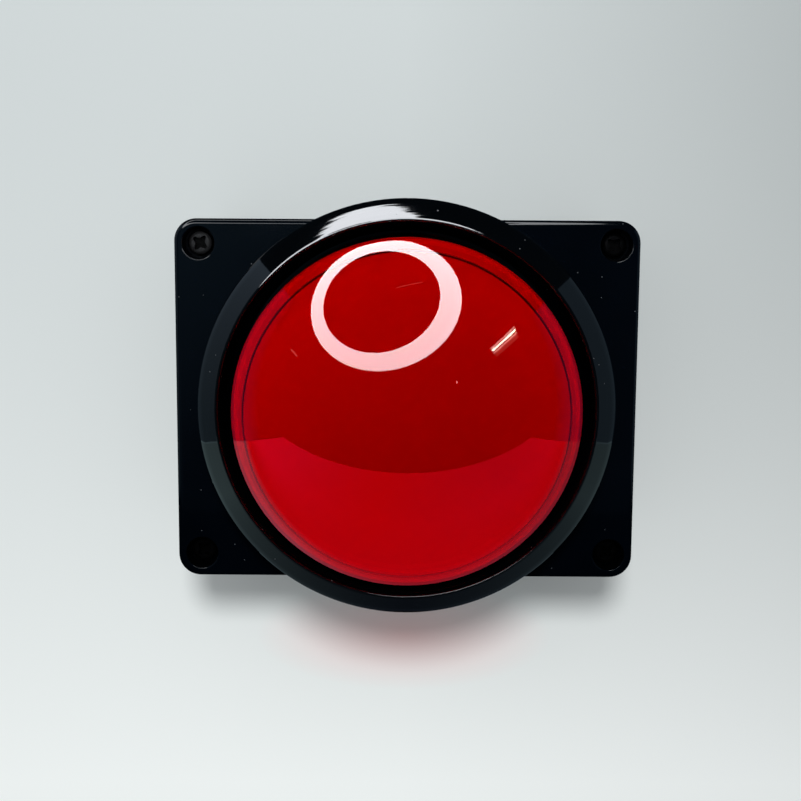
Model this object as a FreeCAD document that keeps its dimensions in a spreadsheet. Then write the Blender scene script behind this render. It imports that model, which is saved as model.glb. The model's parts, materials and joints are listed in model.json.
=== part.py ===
import FreeCAD, Part
import Sketcher
import math
import os
from types import SimpleNamespace

# Wireless push button: a large red dome in a round bezel on the lid of a plain box that
# holds the switch, the transmitter board and two cells.
# Frame: millimetres, origin at the centre of the back face, +Z out of the dome (the press
# goes along -Z), X along the box's long side, Y along its short side.

SIZES = {
    # box
    "box_length": 115.0,
    "box_width": 90.0,
    "box_depth": 55.0,              # back face to lid face
    "lid_height": 14.0,
    "corner_radius": 5.5,
    "wall": 2.5,
    "lid_plate": 3.0,
    "floor_plate": 2.5,
    "draft_angle": 1.0,             # degrees, walls of the base
    "front_edge_radius": 1.2,
    "back_edge_radius": 1.5,
    # lid screws and their wells
    "screw_inset": 6.0,             # outer face to screw axis
    "well_diameter": 8.0,
    "well_depth": 6.0,
    "well_edge_radius": 0.25,
    "post_web": 2.1,                # how far a corner post stands past the wall
    "screw_diameter": 2.9,
    "screw_length": 18.0,
    "screw_head_diameter": 6.2,
    "screw_head_height": 2.3,
    "screw_clearance": 0.25,        # shank in the lid
    "thread_clearance": 0.05,       # thread in its hole, nut on stem
    "thread_run_out": 2.0,          # hole below the screw's point
    "cross_width": 0.9,
    "cross_share": 0.58,            # cross recess, share of the head's diameter
    "cross_depth": 1.3,
    # seal between base and lid
    "tongue_width": 1.0,
    "tongue_height": 1.2,
    "groove_clearance": 0.15,
    "seal_height": 1.0,
    # bezel; heights are above the lid face
    "ring_diameter": 100.0,
    "ring_height": 14.6,
    "slope_width": 5.25,            # the ring's sloping front, seen from above
    "rim_height": 19.2,
    "rim_width": 2.35,              # outer edge of the rim to the bowl's floor
    "bowl_height": 4.0,
    "bezel_wall": 2.5,
    "foot_width": 5.0,
    "ring_edge_radius": 0.6,
    "rim_edge_radius": 0.5,
    "stem_diameter": 23.5,
    "stem_length": 20.0,
    "stem_bore": 20.0,
    "ledge_depth": 12.0,            # lid face to the ledge that stops the plunger
    "guide_wall": 2.8,
    "panel_clearance": 0.25,
    "nut_flats": 34.0,
    "nut_height": 8.0,
    "nut_flange_diameter": 40.0,
    "nut_flange_height": 1.6,
    # dome and plunger
    "travel": 3.5,
    "dome_gap": 1.4,                # dome to the bowl
    "dome_radius": 56.0,
    "dome_edge_height": 22.55,
    "dome_edge_radius": 0.6,
    "dome_wall": 2.2,
    "line_inset": 3.6,              # dome's outside to the fine groove inside its edge
    "line_width": 0.5,
    "line_depth": 0.5,
    "lens_gap": 0.8,
    "diffuser_wall": 1.4,
    "diffuser_clearance": 1.2,      # diffuser skirt to the dome's collar
    "lens_seat_height": 11.5,
    "flange_height": 1.6,
    "flange_inset": 0.2,
    "plate_height": 17.0,
    "plate_thickness": 2.5,
    "plate_clearance": 0.2,
    "plate_rim": 2.0,
    "plunger_diameter": 16.0,
    "plunger_bore": 12.0,
    "plunger_length": 4.0,          # ledge to the end of the snap legs
    "guide_clearance": 0.2,
    "stop_clearance": 1.0,
    "ledge_clearance": 0.05,
    "barb_reach": 1.2,
    "barb_height": 2.6,
    "barb_land": 0.8,
    "leg_slot_width": 3.0,
    "leg_slot_height": 10.0,
    "leg_slot_angle": 45.0,         # degrees, slots between the X and Y axes
    "foot_tab_width": 4.0,
    "foot_tab_drop": 2.6,           # stem end to the foot's tip at rest
    "foot_clearance": 0.6,
    "spring_wire": 1.2,
    "spring_turns": 4.0,
    "spring_clearance": 1.4,
    "spring_seat": 0.02,
    # switch holder and lamp
    "holder_wall": 2.2,
    "holder_grip": 6.0,
    "holder_floor": 2.0,
    "lamp_diameter": 9.0,
    "lamp_post_height": 14.0,
    "lamp_base_height": 10.0,
    "lamp_bulb_diameter": 8.0,
    "lamp_bulb_height": 9.0,
    "lamp_blade_inset": 2.0,        # stem's outside to the lamp's blades
    "cheek_thickness": 2.0,
    "cheek_drop": 16.0,
    "cheek_clearance": 0.15,
    "peg_diameter": 2.9,
    "peg_clearance": 0.1,
    "peg_reach": 2.0,
    # snap switch
    "switch_length": 27.8,
    "switch_width": 10.3,
    "switch_height": 15.9,
    "switch_drop": 5.0,             # foot tip at rest to the top of the case
    "switch_hole_spacing": 22.2,
    "switch_hole_depth": 6.0,       # case top to the mounting holes
    "hinge_x": -10.5,
    "hinge_height": 1.3,
    "hinge_pin_diameter": 1.0,
    "hinge_clearance": 0.05,
    "eye_diameter": 2.2,
    "lever_width": 4.0,
    "lever_thickness": 0.5,
    "lever_overhang": 2.5,
    "lever_gap": 0.25,
    "ear_thickness": 1.2,
    "ear_gap": 0.15,
    "pin_arm": 5.5,
    "pin_diameter": 2.0,
    "pin_length": 6.0,
    "pin_clearance": 0.1,
    "pin_gap": 0.15,
    "pin_hole_run": 2.0,
    "blade_thickness": 0.5,
    "blade_width": 4.8,
    "blade_length": 6.0,
    "blade_pitch": 9.0,
    # transmitter board
    "board_length": 56.0,
    "board_width": 26.0,
    "board_thickness": 1.6,
    "lead_room": 7.1,               # switch to board
    "part_gap": 1.2,                # between parts on the board
    "board_margin": 0.5,
    "board_corner": 1.5,
    "boss_height": 6.0,
    "boss_diameter": 6.0,
    "boss_inset": 3.5,
    "board_screw_diameter": 2.4,
    "board_screw_length": 5.0,
    "board_screw_head_diameter": 4.4,
    "board_screw_head_height": 1.6,
    "radio_length": 18.0,
    "radio_width": 12.0,
    "radio_height": 2.4,
    "chip_length": 6.2,
    "chip_width": 5.0,
    "chip_height": 1.7,
    "chip_leg_reach": 0.9,
    "chip_leg_width": 0.5,
    "chip_leg_pitch": 1.27,
    "capacitor_diameter": 5.0,
    "capacitor_height": 8.0,
    "capacitor_groove": 0.3,
    "aerial_diameter": 5.2,
    "aerial_wire": 0.9,
    "aerial_height": 16.0,
    "aerial_turns": 5.0,
    "socket_length": 7.0,
    "socket_width": 5.0,
    "socket_height": 6.0,
    "socket_pitch": 16.0,
    # battery tray
    "cell_diameter": 14.5,
    "cell_length": 49.2,
    "cell_nub_diameter": 5.5,
    "cell_nub_height": 1.2,
    "cell_pitch": 15.6,
    "cell_clearance": 0.1,
    "cell_edge_radius": 0.8,
    "tray_clearance": 2.15,         # tray to the end wall of the box
    "tray_floor": 1.2,
    "tray_wall": 1.2,
    "tray_lip": 1.0,                # how far the trough's edge stays below the cell's axis
    "tray_end": 1.6,
    "tray_end_drop": 3.5,           # top of the contact plates to the top of the end walls
    "contact_thickness": 0.4,
    "contact_width": 9.0,
    "contact_spring_length": 5.0,
    "contact_spring_diameter": 6.4,
    "contact_spring_wire": 0.8,
    "contact_spring_turns": 3.0,
    # leads
    "lead_diameter": 1.4,
    "lead_pitch": 1.6,
    "lead_bend": 2.8,
}

HEX_CORNER = 1 / math.sqrt(3)       # corner of a hexagon over half its width across flats
MATCH = 1e-4                        # mm, for finding edges
VOLUME_SLACK = 0.01                 # share, a lead's volume against its length

doc = FreeCAD.newDocument("wireless_push_button")
sheet = doc.addObject("Spreadsheet::Sheet", "Sizes")
for row, (alias, number) in enumerate(SIZES.items(), 1):
    sheet.set(f"A{row}", alias)
    sheet.set(f"B{row}", str(number))
    sheet.setAlias(f"B{row}", alias)
doc.recompute()


class Size:
    """A length from the sheet, or worked out from it: its value now and its formula."""

    def __init__(self, value, formula):
        self.value = value
        self.formula = formula

    def __add__(self, other):
        other = as_size(other)
        return Size(self.value + other.value, f"({self.formula} + {other.formula})")

    def __sub__(self, other):
        other = as_size(other)
        return Size(self.value - other.value, f"({self.formula} - {other.formula})")

    def __rsub__(self, other):
        return as_size(other) - self

    def __mul__(self, other):
        other = as_size(other)
        return Size(self.value * other.value, f"({self.formula} * {other.formula})")

    def __truediv__(self, other):
        other = as_size(other)
        return Size(self.value / other.value, f"({self.formula} / {other.formula})")

    def __neg__(self):
        return Size(-self.value, f"(0 - {self.formula})")

    __radd__ = __add__
    __rmul__ = __mul__


def as_size(number):
    return number if isinstance(number, Size) else Size(float(number), repr(float(number)))


def root(size):
    return Size(math.sqrt(size.value), f"sqrt({size.formula})")


def leg(long_side, short_side):
    """The other short side of a right triangle."""
    return root(long_side * long_side - short_side * short_side)


S = SimpleNamespace(**{alias: Size(number, f"Sizes.{alias}") for alias, number in SIZES.items()})


# Helpers for bodies, sketches and features

def bind(thing, prop, size):
    thing.setExpression(prop, as_size(size).formula)


def new_body(label, x=None, y=None, z=None):
    body = doc.addObject("PartDesign::Body", label)
    body.Label = label
    body.AllowCompound = True
    for axis, size in (("x", x), ("y", y), ("z", z)):
        if size is not None:
            bind(body, f"Placement.Base.{axis}", size)
    return body


def origin_feature(body, role):
    return next(f for f in body.Origin.OriginFeatures if f.Role == role)


def new_sketch(body, name, role="XY_Plane", offset=None):
    sketch = body.newObject("Sketcher::SketchObject", f"{body.Name}_{name}")
    sketch.AttachmentSupport = [(origin_feature(body, role), "")]
    sketch.MapMode = "FlatFace"
    if offset is not None:
        bind(sketch, "AttachmentOffset.Base.z", offset)
    return sketch


def place(sketch, geometry, point, x, y):
    """Ties one point of a sketch to its distances from the sketch's origin."""
    for kind, size, axis in (("DistanceX", x, -2), ("DistanceY", y, -1)):
        if isinstance(size, Size):
            rule = Sketcher.Constraint(kind, -1, 1, geometry, point, size.value)
            bind(sketch, f"Constraints[{sketch.addConstraint(rule)}]", size)
        else:
            sketch.addConstraint(Sketcher.Constraint("PointOnObject", geometry, point, axis))


def outline(sketch, corners):
    """A closed outline. A corner is (x, y) where a line arrives, or (x, y, turn, radius) where
    an arc arrives that turns "left" or "right" on its way. A plain 0 lies on the axis."""
    first = sketch.GeometryCount
    points = [FreeCAD.Vector(as_size(c[0]).value, as_size(c[1]).value, 0) for c in corners]
    ends = []
    for i, corner in enumerate(corners):
        start, end = points[i - 1], points[i]
        if len(corner) == 2:
            sketch.addGeometry(Part.LineSegment(start, end))
            ends.append((1, 2))
            continue
        turn, radius = corner[2], corner[3].value
        side = 1 if turn == "left" else -1
        chord = end - start
        rise = math.sqrt(max(radius ** 2 - (chord.Length / 2) ** 2, 0))
        normal = FreeCAD.Vector(-chord.y, chord.x, 0).normalize()
        centre = (start + end) * 0.5 + normal * (rise * side)
        angles = [math.atan2(p.y - centre.y, p.x - centre.x) for p in (start, end)][::side]
        circle_curve = Part.Circle(centre, FreeCAD.Vector(0, 0, 1), radius)
        sketch.addGeometry(Part.ArcOfCircle(circle_curve, *angles))
        ends.append((1, 2)[::side])
    count = len(corners)
    for i in range(count):
        after = (i + 1) % count
        sketch.addConstraint(Sketcher.Constraint(
            "Coincident", first + i, ends[i][1], first + after, ends[after][0]))
    for i, corner in enumerate(corners):
        place(sketch, first + i, ends[i][1], corner[0], corner[1])
        if len(corner) > 2:
            rule = Sketcher.Constraint("Radius", first + i, corner[3].value)
            bind(sketch, f"Constraints[{sketch.addConstraint(rule)}]", corner[3])


def circle(sketch, x, y, diameter):
    centre = FreeCAD.Vector(as_size(x).value, as_size(y).value, 0)
    index = sketch.addGeometry(Part.Circle(centre, FreeCAD.Vector(0, 0, 1), diameter.value / 2))
    place(sketch, index, 3, x, y)
    rule = Sketcher.Constraint("Diameter", index, diameter.value)
    bind(sketch, f"Constraints[{sketch.addConstraint(rule)}]", diameter)


def rectangle(sketch, x0, y0, x1, y1):
    outline(sketch, [(x1, y0), (x1, y1), (x0, y1), (x0, y0)])


def rounded_rectangle(sketch, length, width, radius):
    a, b = length / 2, width / 2
    outline(sketch, [
        (a - radius, -b), (a, radius - b, "left", radius),
        (a, b - radius), (a - radius, b, "left", radius),
        (radius - a, b), (-a, b - radius, "left", radius),
        (-a, radius - b), (radius - a, -b, "left", radius),
    ])


def pad(body, sketch, length, reverse=False, taper=None):
    feature = body.newObject("PartDesign::Pad", f"{sketch.Name}_pad")
    feature.Profile = sketch
    feature.Reversed = reverse
    bind(feature, "Length", length)
    if taper is not None:
        bind(feature, "TaperAngle", taper)
    doc.recompute()
    return feature


def pocket(body, sketch, depth, reverse=False, taper=None):
    """Cuts against the sketch's normal, or along it when reversed, and tests that it cuts."""
    before = body.Tip.Shape.Volume
    feature = body.newObject("PartDesign::Pocket", f"{sketch.Name}_pocket")
    feature.Profile = sketch
    feature.Reversed = reverse
    bind(feature, "Length", depth)
    if taper is not None:
        bind(feature, "TaperAngle", taper)
    doc.recompute()
    if not feature.Shape.Volume < before:
        raise RuntimeError(f"{feature.Name} cuts nothing")
    return feature


def revolve(body, sketch):
    feature = body.newObject("PartDesign::Revolution", f"{sketch.Name}_turned")
    feature.Profile = sketch
    feature.ReferenceAxis = (sketch, ["V_Axis"])
    feature.Angle = 360
    doc.recompute()
    return feature


def coil(body, sketch, height, turns):
    feature = body.newObject("PartDesign::AdditiveHelix", f"{sketch.Name}_coil")
    feature.Profile = sketch
    feature.ReferenceAxis = (sketch, ["V_Axis"])
    feature.Mode = "height-turns-angle"
    bind(feature, "Height", height)
    bind(feature, "Turns", turns)
    doc.recompute()
    return feature


def fillet(body, edges, radius):
    base = body.Tip
    feature = body.newObject("PartDesign::Fillet", f"{body.Name}_round_{len(body.Group)}")
    feature.Base = (base, edges)
    bind(feature, "Radius", radius)
    doc.recompute()
    return feature


def edges_at(shape, height):
    """Names of the edges that lie flat at a height."""
    names = []
    for i, edge in enumerate(shape.Edges, 1):
        box = edge.BoundBox
        if max(abs(box.ZMin - height.value), abs(box.ZMax - height.value)) < MATCH:
            names.append(f"Edge{i}")
    return names


def round_edges(shape, diameter, height):
    """Names of the full circles of a diameter at a height."""
    names = []
    for i, edge in enumerate(shape.Edges, 1):
        if edge.Degenerated or not isinstance(edge.Curve, Part.Circle):
            continue
        off = abs(edge.Curve.Radius * 2 - diameter.value) + abs(edge.Curve.Center.z - height.value)
        if off < MATCH:
            names.append(f"Edge{i}")
    return names


def grid_copies(body, originals, x_spacing, y_spacing):
    """Repeats features at the four corners of a rectangle, from its lowest corner."""
    grid = body.newObject("PartDesign::MultiTransform", f"{body.Name}_grid")
    grid.Originals = originals
    steps = []
    for role, spacing in (("X_Axis", x_spacing), ("Y_Axis", y_spacing)):
        step = body.newObject("PartDesign::LinearPattern", f"{body.Name}_{role}")
        step.Direction = (origin_feature(body, role), [""])
        bind(step, "Length", spacing)
        step.Occurrences = 2
        steps.append(step)
    grid.Transformations = steps
    body.Tip = grid
    doc.recompute()


# Levels and radii that several pieces share

lid_face = S.box_depth
seam = S.box_depth - S.lid_height
lid_inside = lid_face - S.lid_plate
well_floor = lid_face - S.well_depth
screw_x = S.box_length / 2 - S.screw_inset
screw_y = S.box_width / 2 - S.screw_inset
post_radius = S.screw_inset - S.wall + S.post_web
ring_edge = lid_face + S.ring_height
rim_edge = lid_face + S.rim_height
rim_diameter = S.ring_diameter - S.slope_width * 2
bowl_diameter = rim_diameter - S.rim_width * 2
dome_diameter = bowl_diameter - S.dome_gap * 2
bowl_floor = lid_face + S.bowl_height
ledge = lid_face - S.ledge_depth
stem_end = lid_face - S.stem_length
plate_top = lid_face + S.plate_height
plate_under = plate_top - S.plate_thickness
guide_top = plate_under - S.travel - S.stop_clearance
guide_bore = S.plunger_diameter + S.guide_clearance * 2
lens_seat = lid_face + S.lens_seat_height
dome_edge = lid_face + S.dome_edge_height
dome_half = dome_diameter / 2
sphere_centre = dome_edge - leg(S.dome_radius, dome_half)
foot_tip = stem_end - S.foot_tab_drop
case_top = foot_tip - S.switch_drop
case_bottom = case_top - S.switch_height
board_left = S.switch_length / 2 + S.lead_room
board_right = board_left + S.board_width
board_x = (board_left + board_right) / 2
board_under = S.floor_plate + S.boss_height
board_top = board_under + S.board_thickness
boss_x = S.board_width / 2 - S.boss_inset
boss_y = S.board_length / 2 - S.boss_inset


# Box

def cavity_outline(sketch):
    """The inside of the box, with a round post left standing in each corner."""
    a, b = S.box_length / 2 - S.wall, S.box_width / 2 - S.wall
    reach = leg(post_radius, S.screw_inset - S.wall)
    x, y = screw_x - reach, screw_y - reach
    outline(sketch, [
        (x, -b), (a, -y, "right", post_radius), (a, y), (x, b, "right", post_radius),
        (-x, b), (-a, y, "right", post_radius), (-a, -y), (-x, -b, "right", post_radius),
    ])


def rim_band(sketch, width):
    """A band along the middle of the box's wall."""
    for inset in ((S.wall - width) / 2, (S.wall + width) / 2):
        length, across = S.box_length - inset * 2, S.box_width - inset * 2
        rounded_rectangle(sketch, length, across, S.corner_radius - inset)


def corner_circles(sketch, x, y, diameter, centre_x=None):
    for side_x in (x, -x):
        for side_y in (y, -y):
            circle(sketch, side_x if centre_x is None else centre_x + side_x, side_y, diameter)


def make_base_box():
    body = new_body("base_box")
    shell = new_sketch(body, "shell", offset=seam)
    rounded_rectangle(shell, S.box_length, S.box_width, S.corner_radius)
    pad(body, shell, seam, reverse=True, taper=-S.draft_angle)
    fillet(body, edges_at(body.Tip.Shape, as_size(0)), S.back_edge_radius)
    cavity = new_sketch(body, "cavity", offset=seam)
    cavity_outline(cavity)
    pocket(body, cavity, seam - S.floor_plate, taper=-S.draft_angle)
    tongue = new_sketch(body, "tongue", offset=seam)
    rim_band(tongue, S.tongue_width)
    pad(body, tongue, S.tongue_height)
    bosses = new_sketch(body, "bosses", offset=S.floor_plate)
    corner_circles(bosses, boss_x, boss_y, S.boss_diameter, board_x)
    pad(body, bosses, S.boss_height)
    boss_holes = new_sketch(body, "boss_holes", offset=board_under)
    corner_circles(boss_holes, boss_x, boss_y, S.board_screw_diameter + S.thread_clearance * 2,
                   board_x)
    pocket(body, boss_holes, S.board_screw_length)
    pilot_holes = new_sketch(body, "pilot_holes", offset=seam)
    corner_circles(pilot_holes, screw_x, screw_y, S.screw_diameter + S.thread_clearance * 2)
    pocket(body, pilot_holes, S.screw_length + S.thread_run_out - (well_floor - seam))
    return body


def make_lid():
    body = new_body("lid")
    shell = new_sketch(body, "shell", offset=seam)
    rounded_rectangle(shell, S.box_length, S.box_width, S.corner_radius)
    pad(body, shell, S.lid_height)
    fillet(body, edges_at(body.Tip.Shape, lid_face), S.front_edge_radius)
    cavity = new_sketch(body, "cavity", offset=seam)
    cavity_outline(cavity)
    pocket(body, cavity, S.lid_height - S.lid_plate, reverse=True)
    groove = new_sketch(body, "groove", offset=seam)
    rim_band(groove, S.tongue_width + S.groove_clearance * 2)
    pocket(body, groove, S.tongue_height + S.seal_height, reverse=True)
    panel_hole = new_sketch(body, "panel_hole", offset=lid_face)
    circle(panel_hole, 0, 0, S.stem_diameter + S.panel_clearance * 2)
    pocket(body, panel_hole, S.lid_plate)
    wells = new_sketch(body, "wells", offset=lid_face)
    corner_circles(wells, screw_x, screw_y, S.screw_diameter + S.screw_clearance * 2)
    holes = body.newObject("PartDesign::Hole", "lid_screw_holes")
    holes.Profile = wells
    holes.DepthType = "ThroughAll"
    bind(holes, "Diameter", S.screw_diameter + S.screw_clearance * 2)
    holes.HoleCutType = "Counterbore"
    bind(holes, "HoleCutDiameter", S.well_diameter)
    bind(holes, "HoleCutDepth", S.well_depth)
    doc.recompute()
    fillet(body, round_edges(body.Tip.Shape, S.well_diameter, lid_face), S.well_edge_radius)
    return body


def make_lid_gasket():
    body = new_body("lid_gasket")
    band = new_sketch(body, "band", offset=seam + S.tongue_height)
    rim_band(band, S.tongue_width)
    pad(body, band, S.seal_height)
    return body


def make_screws(label, x, y, centre_x, seat, sizes):
    """Four pan-head screws with a cross recess, as one group. Each is drawn at the corner that
    the group's placement names, and repeated over the rectangle."""
    diameter, length, head_diameter, head_height = sizes
    body = new_body(label, x=centre_x - x, y=-y, z=seat)
    half, head_half = diameter / 2, head_diameter / 2
    crown = head_height / 2
    profile = new_sketch(body, "profile", "XZ_Plane")
    outline(profile, [
        (0, -length), (half, half - length), (half, 0), (head_half, 0), (head_half, crown),
        (head_half - crown, head_height, "left", crown), (0, head_height),
    ])
    screw = revolve(body, profile)
    cross = new_sketch(body, "cross", offset=head_height)
    arm, half_width = head_diameter * S.cross_share / 2, S.cross_width / 2
    outline(cross, [
        (arm, -half_width), (arm, half_width), (half_width, half_width), (half_width, arm),
        (-half_width, arm), (-half_width, half_width), (-arm, half_width), (-arm, -half_width),
        (-half_width, -half_width), (-half_width, -arm), (half_width, -arm),
        (half_width, -half_width),
    ])
    recess = pocket(body, cross, S.cross_depth)
    grid_copies(body, [screw, recess], x * 2, y * 2)
    return body


# Bezel, nut, dome and plunger

def make_bezel():
    body = new_body("bezel")
    ring, rim, bowl = S.ring_diameter / 2, rim_diameter / 2, bowl_diameter / 2
    stem, bore, guide = S.stem_diameter / 2, S.stem_bore / 2, guide_bore / 2
    skirt_inside = ring - S.bezel_wall
    wall_outside = bowl + S.bezel_wall
    channel_top = ring_edge - S.bezel_wall
    floor_under = bowl_floor - S.bezel_wall
    profile = new_sketch(body, "profile", "XZ_Plane")
    outline(profile, [
        (ring, lid_face), (ring, ring_edge), (rim, rim_edge), (bowl, bowl_floor),
        (guide + S.guide_wall, bowl_floor), (guide + S.guide_wall, guide_top), (guide, guide_top),
        (guide, ledge), (bore, ledge), (bore, stem_end), (stem, stem_end), (stem, lid_face),
        (stem + S.foot_width, lid_face), (stem + S.foot_width, floor_under),
        (wall_outside - S.foot_width, floor_under), (wall_outside - S.foot_width, lid_face),
        (wall_outside, lid_face), (skirt_inside, channel_top), (skirt_inside, lid_face),
    ])
    revolve(body, profile)
    fillet(body, round_edges(body.Tip.Shape, S.ring_diameter, ring_edge), S.ring_edge_radius)
    fillet(body, round_edges(body.Tip.Shape, rim_diameter, rim_edge), S.rim_edge_radius)
    return body


def make_panel_nut():
    body = new_body("panel_nut")
    flat, corner = S.nut_flats / 2, S.nut_flats / 2 * HEX_CORNER
    blank = new_sketch(body, "blank", offset=lid_inside)
    outline(blank, [
        (flat, -corner), (flat, corner), (0, corner * 2), (-flat, corner), (-flat, -corner),
        (0, corner * -2),
    ])
    pad(body, blank, S.nut_height, reverse=True)
    flange = new_sketch(body, "flange", offset=lid_inside)
    circle(flange, 0, 0, S.nut_flange_diameter)
    pad(body, flange, S.nut_flange_height, reverse=True)
    bore = new_sketch(body, "bore", offset=lid_inside)
    circle(bore, 0, 0, S.stem_diameter + S.thread_clearance * 2)
    pocket(body, bore, S.nut_height)
    return body


def make_shell(label, half, bottom, radius, wall, line=None):
    """A spherical cap about the dome's centre on a straight skirt, open below. A line, if given
    as its middle, width and depth, is a fine groove round the inside of the cap."""
    body = new_body(label)
    inner_half, inner_radius = half - wall, radius - wall

    def inside(reach):
        return (reach, sphere_centre + leg(inner_radius, reach), "right", inner_radius)

    corners = [
        (half, bottom), (half, sphere_centre + leg(radius, half)),
        (0, sphere_centre + radius, "left", radius), (0, sphere_centre + inner_radius),
    ]
    if line:
        middle, width, depth = line
        start, end = inside(middle - width / 2), inside(middle + width / 2)
        corners += [start, (middle, inside(middle)[1] + depth), end[:2]]
    corners += [inside(inner_half), (inner_half, bottom)]
    profile = new_sketch(body, "profile", "XZ_Plane")
    outline(profile, corners)
    revolve(body, profile)
    return body


def make_dome_lens():
    line = (dome_half - S.line_inset, S.line_width, S.line_depth)
    body = make_shell("dome_lens", dome_half, lens_seat, S.dome_radius, S.dome_wall, line)
    fillet(body, round_edges(body.Tip.Shape, dome_diameter, dome_edge), S.dome_edge_radius)
    return body


def make_diffuser():
    half = dome_half - S.dome_wall - S.diffuser_clearance
    radius = S.dome_radius - S.dome_wall - S.lens_gap
    return make_shell("diffuser", half, plate_top, radius, S.diffuser_wall)


def make_plunger():
    body = new_body("plunger")
    tube, bore = S.plunger_diameter / 2, S.plunger_bore / 2
    plate = dome_half - S.dome_wall - S.plate_clearance
    flange = dome_half - S.flange_inset
    barb_top = ledge - S.ledge_clearance
    leg_end = ledge - S.plunger_length
    flange_under = lens_seat - S.flange_height
    profile = new_sketch(body, "profile", "XZ_Plane")
    outline(profile, [
        (bore, plate_top), (plate, plate_top), (plate, lens_seat), (flange, lens_seat),
        (flange, flange_under), (plate - S.plate_rim, flange_under),
        (plate - S.plate_rim, plate_under), (tube, plate_under), (tube, barb_top),
        (tube + S.barb_reach, barb_top), (tube + S.barb_reach, barb_top - S.barb_land),
        (tube, barb_top - S.barb_height), (tube, leg_end), (bore, leg_end),
    ])
    revolve(body, profile)
    slots = new_sketch(body, "leg_slots")
    half = S.leg_slot_width / 2
    reach = tube + S.barb_reach * 2
    outline(slots, [
        (half, -reach), (half, -half), (reach, -half), (reach, half), (half, half), (half, reach),
        (-half, reach), (-half, half), (-reach, half), (-reach, -half), (-half, -half),
        (-half, -reach),
    ])
    turn = FreeCAD.Rotation(FreeCAD.Vector(0, 0, 1), S.leg_slot_angle.value)
    slots.AttachmentOffset = FreeCAD.Placement(FreeCAD.Vector(0, 0, leg_end.value), turn)
    bind(slots, "AttachmentOffset.Base.z", leg_end)
    bind(slots, "AttachmentOffset.Rotation.Angle", S.leg_slot_angle)
    pocket(body, slots, S.leg_slot_height, reverse=True)
    foot = new_sketch(body, "foot", offset=foot_tip)
    tab = S.foot_tab_width / 2
    rectangle(foot, leg(bore, tab) + S.ledge_clearance, -tab, leg(tube, tab), tab)
    pad(body, foot, ledge - foot_tip)
    return body


def make_return_spring():
    body = new_body("return_spring")
    mean_radius = guide_bore / 2 + S.guide_wall + S.spring_clearance + S.spring_wire / 2
    low = bowl_floor + S.spring_seat + S.spring_wire / 2
    wire = new_sketch(body, "wire", "XZ_Plane")
    circle(wire, mean_radius, low, S.spring_wire)
    coil(body, wire, plate_under - bowl_floor - S.spring_wire - S.spring_seat * 2, S.spring_turns)
    return body


# Switch holder, lamp and snap switch

def make_switch_holder():
    body = new_body("switch_holder")
    grip = S.stem_diameter / 2 + S.thread_clearance
    floor_under = stem_end - S.holder_floor
    floor = new_sketch(body, "floor", offset=floor_under)
    circle(floor, 0, 0, (grip + S.holder_wall) * 2)
    pad(body, floor, S.holder_floor)
    collar = new_sketch(body, "collar", offset=stem_end)
    circle(collar, 0, 0, (grip + S.holder_wall) * 2)
    circle(collar, 0, 0, grip * 2)
    pad(body, collar, S.holder_grip)
    post = new_sketch(body, "lamp_post", offset=stem_end)
    circle(post, 0, 0, S.lamp_diameter)
    pad(body, post, S.lamp_post_height)
    cheek_in = S.switch_width / 2 + S.cheek_clearance
    cheek_out = cheek_in + S.cheek_thickness
    cheeks = new_sketch(body, "cheeks", offset=floor_under)
    half = S.switch_length / 2
    rectangle(cheeks, -half, cheek_in, half, cheek_out)
    rectangle(cheeks, -half, -cheek_out, half, -cheek_in)
    pad(body, cheeks, S.cheek_drop, reverse=True)
    for name, offset, reverse in (("pegs_far", -cheek_in, False), ("pegs_near", cheek_in, True)):
        pegs = new_sketch(body, name, "XZ_Plane", offset=offset)
        for x in (S.switch_hole_spacing / 2, S.switch_hole_spacing / -2):
            circle(pegs, x, case_top - S.switch_hole_depth, S.peg_diameter)
        pad(body, pegs, S.peg_reach, reverse=reverse)
    slot = new_sketch(body, "foot_slot", offset=stem_end)
    tab = S.foot_tab_width / 2
    rectangle(slot, S.plunger_bore / 2 - S.foot_clearance, -tab - S.foot_clearance,
              S.plunger_diameter / 2 + S.foot_clearance, tab + S.foot_clearance)
    pocket(body, slot, S.holder_floor)
    return body


def make_led_lamp():
    body = new_body("led_lamp")
    base, bulb = S.lamp_diameter / 2, S.lamp_bulb_diameter / 2
    low = stem_end + S.lamp_post_height
    shoulder = low + S.lamp_base_height
    tip = shoulder + S.lamp_bulb_height
    profile = new_sketch(body, "profile", "XZ_Plane")
    outline(profile, [
        (0, low), (base, low), (base, shoulder), (bulb, shoulder), (bulb, tip - bulb),
        (0, tip, "left", bulb),
    ])
    revolve(body, profile)
    return body


def make_blades(label, top, spots):
    """Flat connection blades that hang from a level, thin along Y."""
    body = new_body(label)
    sketch = new_sketch(body, "blades", offset=top)
    half_width, half = S.blade_width / 2, S.blade_thickness / 2
    for x, y in spots:
        rectangle(sketch, x - half_width, y - half, x + half_width, y + half)
    pad(body, sketch, S.blade_length, reverse=True)
    return body


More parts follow.
